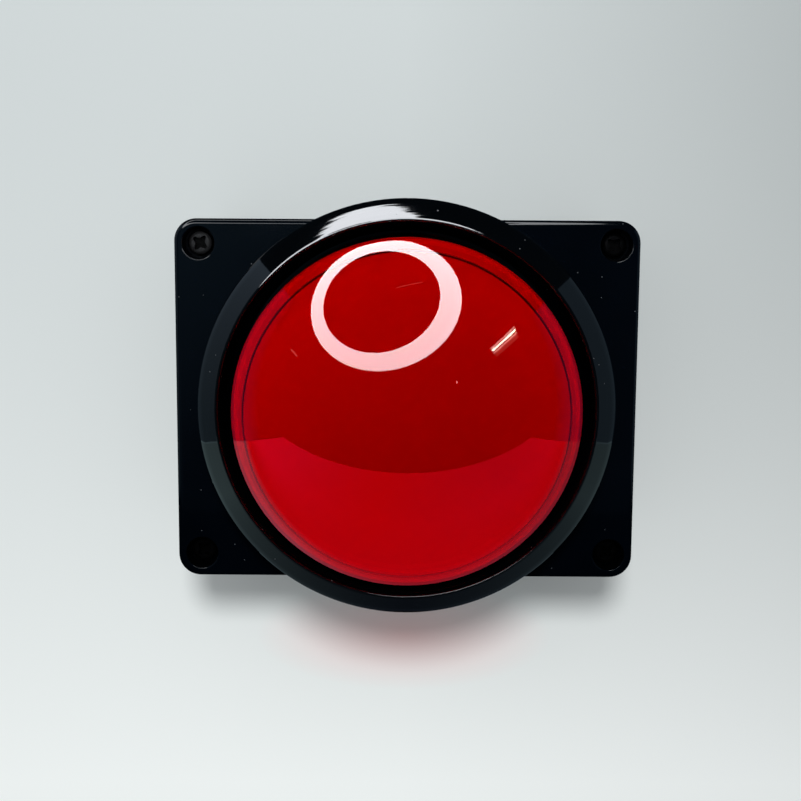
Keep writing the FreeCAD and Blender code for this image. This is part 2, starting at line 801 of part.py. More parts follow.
def make_switch_body():
    body = new_body("switch_body")
    half_length, half_width = S.switch_length / 2, S.switch_width / 2
    case = new_sketch(body, "case", offset=case_top)
    rectangle(case, -half_length, -half_width, half_length, half_width)
    pad(body, case, S.switch_height, reverse=True)
    ears = new_sketch(body, "ears", offset=case_top)
    ear_in = S.lever_width / 2 + S.ear_gap
    ear_out = ear_in + S.ear_thickness
    eye = S.eye_diameter / 2
    for low, high in ((ear_in, ear_out), (-ear_out, -ear_in)):
        rectangle(ears, S.hinge_x - eye, low, S.hinge_x + eye, high)
    pad(body, ears, S.hinge_height + eye)
    pin = new_sketch(body, "hinge_pin", "XZ_Plane", offset=-ear_out)
    circle(pin, S.hinge_x, case_top + S.hinge_height, S.hinge_pin_diameter)
    pad(body, pin, ear_out * 2)
    pin_hole = new_sketch(body, "pin_hole", offset=case_top)
    circle(pin_hole, S.hinge_x + S.pin_arm, 0, S.pin_diameter + S.pin_clearance * 2)
    pocket(body, pin_hole, S.pin_length + S.pin_hole_run)
    mounting = new_sketch(body, "mounting_holes", "XZ_Plane", offset=half_width)
    for x in (S.switch_hole_spacing / 2, S.switch_hole_spacing / -2):
        circle(mounting, x, case_top - S.switch_hole_depth, S.peg_diameter + S.peg_clearance * 2)
    pocket(body, mounting, S.switch_width)
    return body


foot_arm = S.plunger_diameter / 4 + S.plunger_bore / 4 - S.hinge_x
lever_rise = foot_tip - S.lever_gap - S.lever_thickness / 2 - case_top - S.hinge_height
lever_slope = Size(math.degrees(math.atan2(lever_rise.value, foot_arm.value)),
                   f"atan({lever_rise.formula} / {foot_arm.formula})")


def make_switch_lever():
    """A strip with a rolled eye, drawn level about its hinge and then tipped up to the foot."""
    body = new_body("switch_lever")
    half_width, half = S.lever_width / 2, S.lever_thickness / 2
    strip = new_sketch(body, "strip", "XZ_Plane", offset=-half_width)
    rectangle(strip, 0, -half, foot_arm + S.lever_overhang, half)
    pad(body, strip, S.lever_width)
    eye = new_sketch(body, "eye", "XZ_Plane", offset=-half_width)
    circle(eye, 0, 0, S.eye_diameter)
    pad(body, eye, S.lever_width)
    bore = new_sketch(body, "eye_bore", "XZ_Plane", offset=half_width)
    circle(bore, 0, 0, S.hinge_pin_diameter + S.hinge_clearance * 2)
    pocket(body, bore, S.lever_width)
    body.Placement = FreeCAD.Placement(
        FreeCAD.Vector(S.hinge_x.value, 0, (case_top + S.hinge_height).value),
        FreeCAD.Rotation(FreeCAD.Vector(0, -1, 0), lever_slope.value))
    bind(body, "Placement.Base.x", S.hinge_x)
    bind(body, "Placement.Base.z", case_top + S.hinge_height)
    bind(body, "Placement.Rotation.Angle", lever_slope)
    return body


def make_switch_pin():
    half = S.pin_diameter / 2
    rise = lever_rise * S.pin_arm / foot_arm
    top = case_top + S.hinge_height + rise - S.lever_thickness / 2 - S.pin_gap
    body = new_body("switch_pin", x=S.hinge_x + S.pin_arm, z=top)
    profile = new_sketch(body, "profile", "XZ_Plane")
    outline(profile, [
        (0, -S.pin_length), (half, -S.pin_length), (half, -half), (0, 0, "left", half),
    ])
    revolve(body, profile)
    return body


# Transmitter board

socket_x = board_left + S.socket_width / 2
chip_x = board_left + S.socket_width + S.part_gap + S.chip_leg_reach + S.chip_width / 2
radio_x = board_right - S.board_margin - S.radio_width / 2


def make_block(label, x, y, low, length, width, height, radius=None):
    """A plain moulded block that stands on a level, its edges rounded where a radius is given."""
    body = new_body(label, x=x, y=y, z=low)
    sketch = new_sketch(body, "outline")
    if radius is None:
        rectangle(sketch, length / -2, width / -2, length / 2, width / 2)
    else:
        rounded_rectangle(sketch, length, width, radius)
    pad(body, sketch, height)
    return body


def make_circuit_board():
    body = make_block("circuit_board", board_x, as_size(0), board_under, S.board_width,
                      S.board_length, S.board_thickness, S.board_corner)
    holes = new_sketch(body, "screw_holes", offset=S.board_thickness)
    corner_circles(holes, boss_x, boss_y, S.board_screw_diameter + S.screw_clearance * 2)
    pocket(body, holes, S.board_thickness)
    return body


def make_control_chip():
    """A small chip whose legs come down to the board along its two long sides."""
    body = make_block("control_chip", chip_x, as_size(0), board_top, S.chip_width, S.chip_length,
                      S.chip_height)
    legs = new_sketch(body, "legs")
    half = S.chip_width / 2
    half_leg = S.chip_leg_width / 2
    for step in (-1.5, -0.5, 0.5, 1.5):
        y = S.chip_leg_pitch * step
        for low, high in ((half, half + S.chip_leg_reach), (-half - S.chip_leg_reach, -half)):
            rectangle(legs, low, y - half_leg, high, y + half_leg)
    pad(body, legs, S.chip_height / 2)
    return body


def make_capacitor():
    half = S.capacitor_diameter / 2
    body = new_body("capacitor", x=chip_x, y=-half - S.part_gap - S.chip_length / 2, z=board_top)
    profile = new_sketch(body, "profile", "XZ_Plane")
    groove = S.capacitor_groove
    outline(profile, [
        (0, 0), (half, 0), (half, half), (half - groove, half + groove), (half, half + groove * 2),
        (half, S.capacitor_height), (0, S.capacitor_height),
    ])
    revolve(body, profile)
    return body


def make_aerial_coil():
    body = new_body("aerial_coil", x=radio_x, y=S.radio_length / -2 - S.aerial_diameter,
                    z=board_top)
    wire = new_sketch(body, "wire", "XZ_Plane")
    circle(wire, (S.aerial_diameter - S.aerial_wire) / 2, S.aerial_wire / 2 + S.spring_seat,
           S.aerial_wire)
    coil(body, wire, S.aerial_height - S.aerial_wire, S.aerial_turns)
    return body


def make_lead_sockets():
    body = new_body("lead_sockets", x=socket_x, z=board_top)
    sketch = new_sketch(body, "blocks")
    half_width, half = S.socket_width / 2, S.socket_length / 2
    for y in (S.socket_pitch, as_size(0), -S.socket_pitch):
        rectangle(sketch, -half_width, y - half, half_width, y + half)
    pad(body, sketch, S.socket_height)
    return body


# Battery tray

trough = S.cell_diameter / 2 + S.cell_clearance
cell_axis = S.floor_plate + S.tray_floor + trough
tray_half = S.cell_length / 2 + S.cell_nub_height / 2 + S.contact_spring_length / 2
tray_side = S.cell_pitch / 2 + trough + S.tray_wall
tray_x = S.wall + S.tray_clearance + tray_side - S.box_length / 2


def make_battery_tray():
    """Two round troughs side by side, closed by a low wall at each end."""
    body = new_body("battery_tray", x=tray_x, z=S.floor_plate)
    half_chord = leg(trough, S.tray_lip)
    top = S.tray_floor + trough - S.tray_lip
    middle = S.cell_pitch / 2
    side = tray_side
    section = new_sketch(body, "section", "XZ_Plane", offset=-tray_half)
    outline(section, [
        (side, 0), (side, top), (middle + half_chord, top),
        (middle - half_chord, top, "right", trough), (half_chord - middle, top),
        (-middle - half_chord, top, "right", trough), (-side, top), (-side, 0),
    ])
    pad(body, section, tray_half * 2)
    ends = new_sketch(body, "ends")
    far = tray_half + S.contact_thickness
    rectangle(ends, -side, far, side, far + S.tray_end)
    rectangle(ends, -side, -far - S.tray_end, side, -far)
    pad(body, ends, S.tray_floor + trough * 2 - S.tray_end_drop)
    ledges = new_sketch(body, "ledges")
    rectangle(ledges, -side, tray_half, side, far)
    rectangle(ledges, -side, -far, side, -tray_half)
    pad(body, ledges, S.tray_floor)
    return body


def make_cell(label, side):
    """One round cell along Y. Its side, +1 or -1, is its half of the tray and its nub's way."""
    body = new_body(label, x=tray_x + S.cell_pitch / 2 * side, z=cell_axis)
    half, nub = S.cell_diameter / 2, S.cell_nub_diameter / 2
    shift = S.contact_spring_length / 2
    tail = shift - (S.cell_length + S.cell_nub_height) / 2
    end = tail + S.cell_length
    edge = S.cell_edge_radius
    profile = new_sketch(body, "profile")
    corners = [
        (0, tail * side), (half - edge, tail * side), (half, (tail + edge) * side),
        (half, (end - edge) * side), (half - edge, end * side), (nub, end * side),
        (nub, (end + S.cell_nub_height) * side), (0, (end + S.cell_nub_height) * side),
    ]
    outline(profile, corners[::side])
    revolve(body, profile)
    return body


def make_battery_contacts():
    """Two single plates at one end and one joined plate at the other, stood in the tray's ends."""
    body = new_body("battery_contacts", x=tray_x, z=S.floor_plate + S.tray_floor)
    middle, half = S.cell_pitch / 2, S.contact_width / 2
    plates = new_sketch(body, "plates")
    far = tray_half + S.contact_thickness
    rectangle(plates, middle - half, tray_half, middle + half, far)
    rectangle(plates, -middle - half, tray_half, half - middle, far)
    rectangle(plates, -middle - half, -far, middle + half, -tray_half)
    pad(body, plates, trough * 2)
    return body


def make_contact_spring(label, side):
    """The coil behind a cell's flat end."""
    body = new_body(label, x=tray_x + S.cell_pitch / 2 * side, y=tray_half * -side, z=cell_axis)
    wire = new_sketch(body, "wire")
    radius = (S.contact_spring_diameter - S.contact_spring_wire) / 2
    low = S.contact_spring_wire / 2 + S.spring_seat
    circle(wire, radius, low * side, S.contact_spring_wire)
    height = S.contact_spring_length - S.contact_spring_wire - S.spring_seat * 2
    coil(body, wire, height, S.contact_spring_turns).Reversed = side < 0
    doc.recompute()
    return body


# Leads: straight runs joined by arcs, from a blade or plate to a socket on the board

def make_lead(label, routes):
    radius = S.lead_diameter.value / 2
    bend = S.lead_bend.value
    pipes = []
    for route in routes:
        points = [FreeCAD.Vector(*(as_size(c).value for c in point)) for point in route]
        edges = []
        start = points[0]
        for before, corner, after in zip(points, points[1:], points[2:]):
            way_in, way_out = (before - corner).normalize(), (after - corner).normalize()
            half_turn = (math.pi - way_in.getAngle(way_out)) / 2
            setback = bend * math.tan(half_turn)
            middle = (way_in + way_out).normalize()
            arc_in, arc_out = corner + way_in * setback, corner + way_out * setback
            crest = corner + middle * (bend / math.cos(half_turn) - bend)
            edges.append(Part.LineSegment(start, arc_in).toShape())
            edges.append(Part.Arc(arc_in, crest, arc_out).toShape())
            start = arc_out
        edges.append(Part.LineSegment(start, points[-1]).toShape())
        spine = Part.Wire(edges)
        ring = Part.Wire(Part.makeCircle(radius, points[0], points[1] - points[0]))
        pipe = spine.makePipeShell([ring], True, True)
        expected = math.pi * radius ** 2 * spine.Length
        if abs(pipe.Volume / expected - 1) > VOLUME_SLACK:
            raise RuntimeError(f"{label}: the lead's volume is off")
        pipes.append(pipe)
    lead = doc.addObject("Part::Feature", label)
    lead.Label = label
    lead.Shape = pipes[0] if len(pipes) == 1 else Part.makeCompound(pipes)
    return lead


socket_mid = board_top + S.socket_height / 2
blade_low = case_bottom - S.blade_length / 2
blade_face = S.blade_thickness / 2
lamp_blade_y = S.stem_diameter / 2 - S.lamp_blade_inset
lamp_blade_low = stem_end - S.holder_floor - S.blade_length / 2
contact_face = tray_half + S.contact_thickness
tray_back = contact_face + S.tray_end
plate_top_level = S.floor_plate + S.tray_floor + trough * 2


def switch_routes():
    """From the two outer blades of the switch to the middle socket."""
    routes = []
    for x, run_y, end_y in ((S.blade_pitch, S.blade_pitch / 2, S.lead_pitch),
                            (-S.blade_pitch, S.blade_pitch, S.lead_pitch * 2)):
        routes.append([
            (x, blade_face, blade_low), (x, run_y, blade_low),
            (S.switch_length / 2, run_y, blade_low),
            (board_left - S.lead_bend, end_y, socket_mid), (board_left, end_y, socket_mid),
        ])
    return routes


def lamp_route(side):
    """From a lamp blade out past the holder and down to the last socket."""
    y = lamp_blade_y * side
    end_y = S.lead_pitch * side - S.socket_pitch
    out_y = (S.stem_diameter / 2 + S.lead_bend * 2) * side
    turn_x = board_left - S.lead_bend * 2
    return [
        (0, y + blade_face * side, lamp_blade_low), (0, out_y, lamp_blade_low),
        (turn_x, out_y, lamp_blade_low - S.lead_bend * 2), (turn_x, end_y, socket_mid),
        (board_left, end_y, socket_mid),
    ]


def battery_route(side):
    """From a contact plate over the tray's end, along the wall and back to the first socket."""
    x = tray_x + S.cell_pitch / 2 * side
    z = plate_top_level - S.lead_diameter
    run_y = tray_back + S.lead_pitch * (2 - side)
    end_y = S.socket_pitch - S.lead_pitch * side
    return [
        (x, contact_face, z), (x, run_y, z), (S.switch_length / -2, run_y, z),
        (S.switch_length / 2, end_y, socket_mid), (board_left, end_y, socket_mid),
    ]


lid_screw_sizes = (S.screw_diameter, S.screw_length, S.screw_head_diameter, S.screw_head_height)
board_screw_sizes = (S.board_screw_diameter, S.board_screw_length,
                     S.board_screw_head_diameter, S.board_screw_head_height)

pieces = [
    make_base_box(),
    make_lid(),
    make_lid_gasket(),
    make_screws("lid_screws", screw_x, screw_y, as_size(0), well_floor, lid_screw_sizes),
    make_bezel(),
    make_panel_nut(),
    make_dome_lens(),
    make_diffuser(),
    make_plunger(),
    make_return_spring(),
    make_switch_holder(),
    make_led_lamp(),
    make_blades("lamp_blades", stem_end - S.holder_floor, [(0, lamp_blade_y), (0, -lamp_blade_y)]),
    make_switch_body(),
    make_switch_lever(),
    make_switch_pin(),
    make_blades("switch_blades", case_bottom, [(-S.blade_pitch, 0), (0, 0), (S.blade_pitch, 0)]),
    make_circuit_board(),
    make_screws("board_screws", boss_x, boss_y, board_x, board_top, board_screw_sizes),
    make_block("radio_module", radio_x, as_size(0), board_top, S.radio_width, S.radio_length,
               S.radio_height, S.board_corner),
    make_control_chip(),
    make_capacitor(),
    make_aerial_coil(),
    make_lead_sockets(),
    make_battery_tray(),
    make_cell("cell_left", -1),
    make_cell("cell_right", 1),
    make_battery_contacts(),
    make_contact_spring("contact_spring_left", -1),
    make_contact_spring("contact_spring_right", 1),
    make_lead("switch_leads", switch_routes()),
    make_lead("lamp_lead_red", [lamp_route(1)]),
    make_lead("lamp_lead_black", [lamp_route(-1)]),
    make_lead("battery_lead_red", [battery_route(1)]),
    make_lead("battery_lead_black", [battery_route(-1)]),
]

doc.recompute()
for thing in doc.Objects:
    if "Invalid" in thing.State or "Error" in thing.State:
        raise RuntimeError(f"{thing.Name} did not build: {thing.State}")
for piece in pieces:
    if piece.Shape.isNull() or not piece.Shape.isValid():
        raise RuntimeError(f"{piece.Label} has no valid shape")

os.makedirs("parts", exist_ok=True)
for piece in pieces:
    piece.Shape.exportStep(f"parts/{piece.Label}.step")
    box = piece.Shape.BoundBox
    print(f"{piece.Label}: {len(piece.Shape.Solids)} solid, {piece.Shape.Volume:.0f} mm3, "
          f"z {box.ZMin:.2f} to {box.ZMax:.2f}")
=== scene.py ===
# %% [markdown]
# # A wireless push button, dressed for the camera
#
# The part is a big red dome in a black ring, on the lid of a plain black box. Its solids come
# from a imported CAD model, which stays as a fixed frame. This lesson adds what a camera sees:
# clear and milky red plastic, polished and satin black, screws, springs and a small studio.
# Lengths are in metres, in the CAD frame: +Z comes out of the dome and X runs along the box.

# %% Load the frame
import json
import math

import bmesh
import bpy
from mathutils import Matrix, Vector

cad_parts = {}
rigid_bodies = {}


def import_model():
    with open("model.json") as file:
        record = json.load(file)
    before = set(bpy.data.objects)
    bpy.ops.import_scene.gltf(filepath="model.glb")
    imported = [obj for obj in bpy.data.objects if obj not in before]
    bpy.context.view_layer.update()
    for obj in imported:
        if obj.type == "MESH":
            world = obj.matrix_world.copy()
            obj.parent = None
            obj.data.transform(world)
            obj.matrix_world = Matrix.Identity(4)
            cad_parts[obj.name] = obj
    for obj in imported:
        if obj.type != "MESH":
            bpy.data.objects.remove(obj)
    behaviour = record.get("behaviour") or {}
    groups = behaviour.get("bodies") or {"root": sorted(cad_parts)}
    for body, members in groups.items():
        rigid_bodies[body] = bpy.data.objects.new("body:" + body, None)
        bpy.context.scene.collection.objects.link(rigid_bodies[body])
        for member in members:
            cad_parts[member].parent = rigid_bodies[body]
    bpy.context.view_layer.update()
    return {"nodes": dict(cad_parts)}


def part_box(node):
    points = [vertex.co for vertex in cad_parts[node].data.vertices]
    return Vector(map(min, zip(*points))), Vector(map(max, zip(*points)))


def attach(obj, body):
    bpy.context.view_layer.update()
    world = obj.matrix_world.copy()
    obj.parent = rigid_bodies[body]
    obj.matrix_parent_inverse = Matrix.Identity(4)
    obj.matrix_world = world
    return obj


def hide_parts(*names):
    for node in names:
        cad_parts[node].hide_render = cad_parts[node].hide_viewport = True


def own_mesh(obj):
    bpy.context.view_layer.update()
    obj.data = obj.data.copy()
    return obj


for leftover in list(bpy.data.objects):
    bpy.data.objects.remove(leftover)

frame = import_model()
MM = 0.001

# %% [markdown]
# ## The camera
#
# The button is seen almost straight on, from a little above its middle. The camera could be
# placed by eye, but the box's corners and the ring's outline give its place and lens exactly,
# so the numbers here are that fit. Everything later is judged through it.

# %% Camera
LENS_MM = 59.6387
EYE = (-1.936 * MM, 44.7 * MM, 383.366 * MM)
TILT_DEGREES = (-7.714065, -0.032446, 0.365137)

scene = bpy.context.scene
scene.view_settings.view_transform = "Standard"
lens = bpy.data.cameras.new("front_camera")
lens.lens = LENS_MM
camera = bpy.data.objects.new("front_camera", lens)
camera.location = EYE
camera.rotation_euler = [math.radians(angle) for angle in TILT_DEGREES]
scene.collection.objects.link(camera)
scene.camera = camera
print("camera", round(EYE[2] / MM), "mm above the back face")

# %% [markdown]
# ## Node graphs as expressions
#
# Finishes and shapes are both node trees. Wiring them by hand takes three lines for each sum, so
# a small class wraps a socket and lets Python's operators add the Math nodes. Any other node
# comes from one method: its type, its settings, then the values or wires of its sockets.


# %% Wires
class Wire:
    """An output socket. Sums and products of wires add their own Math nodes."""

    def __init__(self, graph, socket):
        self.graph = graph
        self.socket = socket

    def maths(self, operation, *values):
        """Any Math node by its name, for what no operator stands for."""
        return self.graph.add("ShaderNodeMath", {"operation": operation}, dict(enumerate(values)))

    def other(self, name):
        """Another output of the same node."""
        return Wire(self.graph, self.socket.node.outputs[name])

    def __add__(self, value):
        return self.maths("ADD", self, value)

    def __sub__(self, value):
        return self.maths("SUBTRACT", self, value)

    def __rsub__(self, value):
        return self.maths("SUBTRACT", value, self)

    def __mul__(self, value):
        return self.maths("MULTIPLY", self, value)

    def __truediv__(self, value):
        return self.maths("DIVIDE", self, value)

    def __pow__(self, value):
        return self.maths("POWER", self, value)

    def __gt__(self, value):
        return self.maths("GREATER_THAN", self, value)

    def __lt__(self, value):
        return self.maths("LESS_THAN", self, value)

    def __abs__(self):
        return self.maths("ABSOLUTE", self)

    __radd__ = __add__
    __rmul__ = __mul__


print("a wire's sums and products add Math nodes")


# %% Graphs
class Graph:
    """A node tree, with one way to add any node to it."""

    def __init__(self, tree):
        self.tree = tree

    def add(self, kind, settings=None, sockets=None, output=0):
        node = self.tree.nodes.new(kind)
        for name, value in (settings or {}).items():
            setattr(node, name, value)
        for name, value in (sockets or {}).items():
            for one in value if isinstance(value, list) else [value]:
                if isinstance(one, Wire):
                    self.tree.links.new(one.socket, node.inputs[name])
                else:
                    node.inputs[name].default_value = one
        return Wire(self, node.outputs[output]) if node.outputs else node


print("a graph adds any other node")

# %% [markdown]
# ## Parts that every finish shares
#
# Moulded plastic is never one flat colour: the sheen drifts, the surface has pores, and dust
# settles on it. These helpers give cloudy noise, round specks, a blend of two colours and a bump
# whose depth is a real length. All of them read Object coordinates, so a pattern stays in place.


# %% Colours and points
def rgb(red, green, blue):
    """An opaque colour, in linear light."""
    return (red, green, blue, 1.0)


def new_finish(name):
    """An empty material, its graph, and the Object coordinates of a point on the piece."""
    finish = bpy.data.materials.new(name)
    finish.use_nodes = True
    finish.node_tree.nodes.clear()
    graph = Graph(finish.node_tree)
    return finish, graph, graph.add("ShaderNodeTexCoord", output="Object")


def axes(graph, point):
    """The X, Y and Z of a point."""
    x = graph.add("ShaderNodeSeparateXYZ", {}, {"Vector": point}, "X")
    return x, x.other("Y"), x.other("Z")


def from_axis(x, y):
    """How far a point lies from an axis, by its two distances across it."""
    return (x * x + y * y) ** 0.5


print("a finish starts from the Object coordinates of a point")


# %% Patterns
def grain(graph, point, size, detail=2.0):
    """Cloudy noise from 0 to 1. Size is a blot's length, or one length for each axis."""
    blot = size if isinstance(size, tuple) else (size, size, size)
    scaled = graph.add("ShaderNodeMapping", {}, {
        "Vector": point, "Scale": tuple(1 / length for length in blot)})
    return graph.add("ShaderNodeTexNoise", {}, {
        "Vector": scaled, "Scale": 1.0, "Detail": detail}, "Fac")


def specks(graph, point, spacing, width, share):
    """Dust: 1 inside round specks, which lie in this share of the cells of a loose lattice."""
    near = graph.add("ShaderNodeTexVoronoi", {}, {"Vector": point, "Scale": 1 / spacing},
                     "Distance")
    draw = graph.add("ShaderNodeSeparateColor", {}, {"Color": near.other("Color")}, "Red")
    return (near < width / 2 / spacing) * (draw < share)


def tone(graph, mask, low, high):
    """A colour that goes from low to high as the mask goes from 0 to 1."""
    return graph.add("ShaderNodeMix", {"data_type": "RGBA"}, {0: mask, 6: low, 7: high}, 2)


def relief(graph, height, depth):
    """A bump: a height of 1 stands for this depth."""
    return graph.add("ShaderNodeBump", {}, {"Height": height, "Distance": depth}, "Normal")


print("patterns: cloudy noise, specks, colour blends and bumps")


# %% Shader and dressing
def surface(graph, sockets):
    """Ends a finish in one shader. A plain number stays on the shader's own socket."""
    shader = graph.add("ShaderNodeBsdfPrincipled", {}, sockets)
    graph.add("ShaderNodeOutputMaterial", {}, {"Surface": shader})


def dress(finish, *names):
    """Puts a finish on CAD nodes. Their meshes stay as they are."""
    for name in names:
        for holder in frame["nodes"][name].material_slots:
            holder.material = finish
    print(finish.name, "on", ", ".join(names))


print(len(frame["nodes"]), "nodes to dress or replace")

# %% [markdown]
# ## Box: smooth black
#
# The box is moulded in a blue-black plastic with a smooth skin. It could be left a plain dark
# grey, but the photograph shows a soft uneven sheen, very fine pores and some specks of dust, so
# those go into the colour, the roughness and a bump of half a micron. The screw wells lie deep in
# shade, so a mask finds them by their distance from the four corners' axes, and there a dark
# metal takes the place of the plastic as painted shade: it mirrors only its own dark colour.

# %% Box finish
WELL_X = 51.5 * MM
WELL_Y = 39 * MM
WELL_RADIUS = 4.05 * MM
WELL_MOUTH = 54.5 * MM

box_finish, graph, point = new_finish("smooth_black_box")
x, y, z = axes(graph, point)
off_axis = from_axis(abs(x) - WELL_X, abs(y) - WELL_Y)
# Painted shade: inside the screw wells the box turns to dark metal, so they stay dark.
well = (off_axis < WELL_RADIUS) * (z < WELL_MOUTH)
sheen = grain(graph, point, 16 * MM, 3.0)
pores = grain(graph, point, 0.22 * MM)
dust = specks(graph, point, 1.2 * MM, 0.3 * MM, 0.04)
skin = tone(graph, sheen, rgb(0.0001, 0.0005, 0.0012), rgb(0.0005, 0.0012, 0.0026))
surface(graph, {
    "Base Color": tone(graph, dust, skin, rgb(0.045, 0.05, 0.054)),
    "Roughness": 0.05 + 0.05 * sheen + 0.3 * dust + 0.45 * well,
    "Metallic": 0.85 * well,
    "Normal": relief(graph, pores, 0.0005 * MM),
    "Specular IOR Level": 0.4,
})
dress(box_finish, "lid", "base_box")

# %% [markdown]
# ## Bezel: polished black
#
# The ring is polished, so it mirrors the lamp above it, but the highlight stops short of the
# outer edge and ends in streaks that follow the ring. The face is very slightly crowned, its
# outer edge is rounded off, and turning and wiping left marks round it. A bump gives all of
# them: parabolas of the radius for the crown and the edge, and noise that is long round the
# axis and short across it for the marks.

# %% Bezel finish
CROWN_START = 43.5 * MM
CROWN_WIDTH = 6.5 * MM
CROWN_DROP = 0.21 * MM
EDGE_START = 48.6 * MM
EDGE_WIDTH = 1.5 * MM
EDGE_DROP = 0.22 * MM
MARK_WIDTH = 0.9 * MM
MARK_TURN = 0.3
MARK_DEPTH = 0.013 * MM
STREAK_WIDTH = 0.16 * MM
STREAK_TURN = 0.22
STREAK_DEPTH = 0.001 * MM

bezel_finish, graph, point = new_finish("polished_black_ring")
x, y, z = axes(graph, point)
radius = from_axis(x, y)
angle = y.maths("ARCTAN2", y, x)


def round_marks(graph, width, turn):
    """Noise whose blots are this wide across the ring and reach this angle round it."""
    along = graph.add("ShaderNodeCombineXYZ", {}, {
        "X": radius / width, "Y": angle / turn, "Z": z / width})
    return graph.add("ShaderNodeTexNoise", {}, {"Vector": along, "Scale": 1.0}, "Fac")


crown = (radius - CROWN_START) / CROWN_WIDTH
streaks = round_marks(graph, STREAK_WIDTH, STREAK_TURN)
marks = round_marks(graph, MARK_WIDTH, MARK_TURN)
edge = (radius - EDGE_START) / EDGE_WIDTH
edge = edge.maths("MAXIMUM", edge, 0.0)
face = (crown * crown * -CROWN_DROP - edge * edge * EDGE_DROP
        + marks * MARK_DEPTH + streaks * STREAK_DEPTH)
wiped = grain(graph, point, 9 * MM, 3.0)
dust = specks(graph, point, 1.37 * MM, 0.3 * MM, 0.06)
skin = tone(graph, wiped, rgb(0.0002, 0.0003, 0.0005), rgb(0.0005, 0.0008, 0.0012))
surface(graph, {
    "Base Color": tone(graph, dust, skin, rgb(0.07, 0.072, 0.075)),
    "Roughness": 0.015 + 0.03 * streaks + 0.02 * wiped + 0.4 * dust,
    "Normal": relief(graph, face / MM, MM),
    "Specular IOR Level": 0.5,
})
dress(bezel_finish, "bezel")

# %% [markdown]
# ## Shapes grown by Geometry Nodes
#
# Turned pieces, coils and screws follow a rule, so each is a small node tree with named inputs
# for its sizes. One helper opens a tree with those inputs, one closes it with real geometry and a
# material, and one runs it on a blank, keeps the result as a plain mesh and closes its seams.

# %% Opening and closing a tree
SOCKETS = {
    float: "NodeSocketFloat", int: "NodeSocketInt", bpy.types.Material: "NodeSocketMaterial"}


def open_tree(name, **kinds):
    """A new tree: its graph, the blank it starts from, and its named inputs as wires."""
    tree = bpy.data.node_groups.new(name, "GeometryNodeTree")
    tree.interface.new_socket("blank", in_out="INPUT", socket_type="NodeSocketGeometry")
    for label, kind in kinds.items():
        tree.interface.new_socket(label, in_out="INPUT", socket_type=SOCKETS[kind])
    tree.interface.new_socket("piece", in_out="OUTPUT", socket_type="NodeSocketGeometry")
    graph = Graph(tree)
    blank = graph.add("NodeGroupInput", output="blank")
    return graph, blank, {label: blank.other(label) for label in kinds}


def close_tree(graph, shape, material):
    """Ends a tree in real geometry with one material."""
    real = graph.add("GeometryNodeRealizeInstances", {}, {"Geometry": shape})
    painted = graph.add("GeometryNodeSetMaterial", {}, {"Geometry": real, "Material": material})
    graph.add("NodeGroupOutput", {}, {"piece": painted})
    return graph.tree


print("inputs are numbers, counts or a material:", len(SOCKETS), "kinds")

# %% Growing a piece
WELD = 1e-7


def grow(name, tree, blank_points, **sizes):
    """Runs a tree on a chain of points and keeps the result as a plain mesh."""
    blank = bpy.data.meshes.new(name)
    steps = range(len(blank_points) - 1)
    blank.from_pydata(blank_points, [(step, step + 1) for step in steps], [])
    source = bpy.data.objects.new(name + "_source", blank)
    scene.collection.objects.link(source)
    modifier = source.modifiers.new("shape", "NODES")
    modifier.node_group = tree
    for item in tree.interface.items_tree:
        if item.in_out == "INPUT" and item.name in sizes:
            modifier[item.identifier] = sizes[item.name]
    ready = source.evaluated_get(bpy.context.evaluated_depsgraph_get())
    mesh = bpy.data.meshes.new_from_object(ready)
    source.modifiers.remove(modifier)
    bpy.data.objects.remove(source)
    shell = bmesh.new()
    shell.from_mesh(mesh)
    bmesh.ops.remove_doubles(shell, verts=shell.verts, dist=WELD)
    bmesh.ops.recalc_face_normals(shell, faces=shell.faces)
    shell.to_mesh(mesh)
    shell.free()
    piece = bpy.data.objects.new(name, mesh)
    scene.collection.objects.link(piece)
    print(name, len(mesh.polygons), "faces")
    return piece


def settle(piece, body, slot, *nodes):
    """Ties a piece to its body, in place of these CAD nodes, which it hides. The slot is not used.
    """
    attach(piece, body)
    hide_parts(*nodes)


print("seams closer than", WELD / MM, "mm are welded")

# %% [markdown]
# ## Dome: clear red over milky red
#
# The dome is a clear red cap, polished like glass, with a frosted collar and a fine groove round
# the inside of its edge. Under it sits a milky shell that spreads the lamp's light. Painted red
# plastic would look dead, so light really goes through the cap and comes back from the shell.
# The line over the groove is darker than the groove alone gives, so a ring mask deepens the
# cap's red there as painted shade.

# %% Clear dome finish
CLEAR_RED = rgb(0.97, 0.004, 0.002)
SMEARED_RED = rgb(0.94, 0.003, 0.002)
GROOVE_SHADE_RED = rgb(0.16, 0.001, 0.001)
GROOVE_SHADE_RADIUS = 38 * MM
GROOVE_SHADE_HALF = 0.3 * MM
GROOVE_SHADE_LOW = 79 * MM

dome_finish, graph, point = new_finish("clear_red_dome")
x, y, z = axes(graph, point)
# Painted shade: a darker red ring along the line of the groove.
groove_shade = (abs(from_axis(x, y) - GROOVE_SHADE_RADIUS) < GROOVE_SHADE_HALF) * (z > GROOVE_SHADE_LOW)
smears = grain(graph, point, 12 * MM, 2.0)
lint = specks(graph, point, 7.0 * MM, 0.2 * MM, 0.25)
cap = tone(graph, smears, CLEAR_RED, SMEARED_RED)
surface(graph, {
    "Base Color": tone(graph, groove_shade, cap, GROOVE_SHADE_RED),
    "Roughness": 0.003 + 0.008 * smears + 0.3 * lint,
    "IOR": 1.49,
    "Transmission Weight": 1.0,
})
print(dome_finish.name, "has its deeper ring at", round(GROOVE_SHADE_RADIUS / MM), "mm")

# %% Milky finishes
MILKY_RED = rgb(0.64, 0.005, 0.003)
RIM_LIGHT_RED = rgb(0.98, 0.01, 0.008)
SHELL_RADIUS = 38 * MM


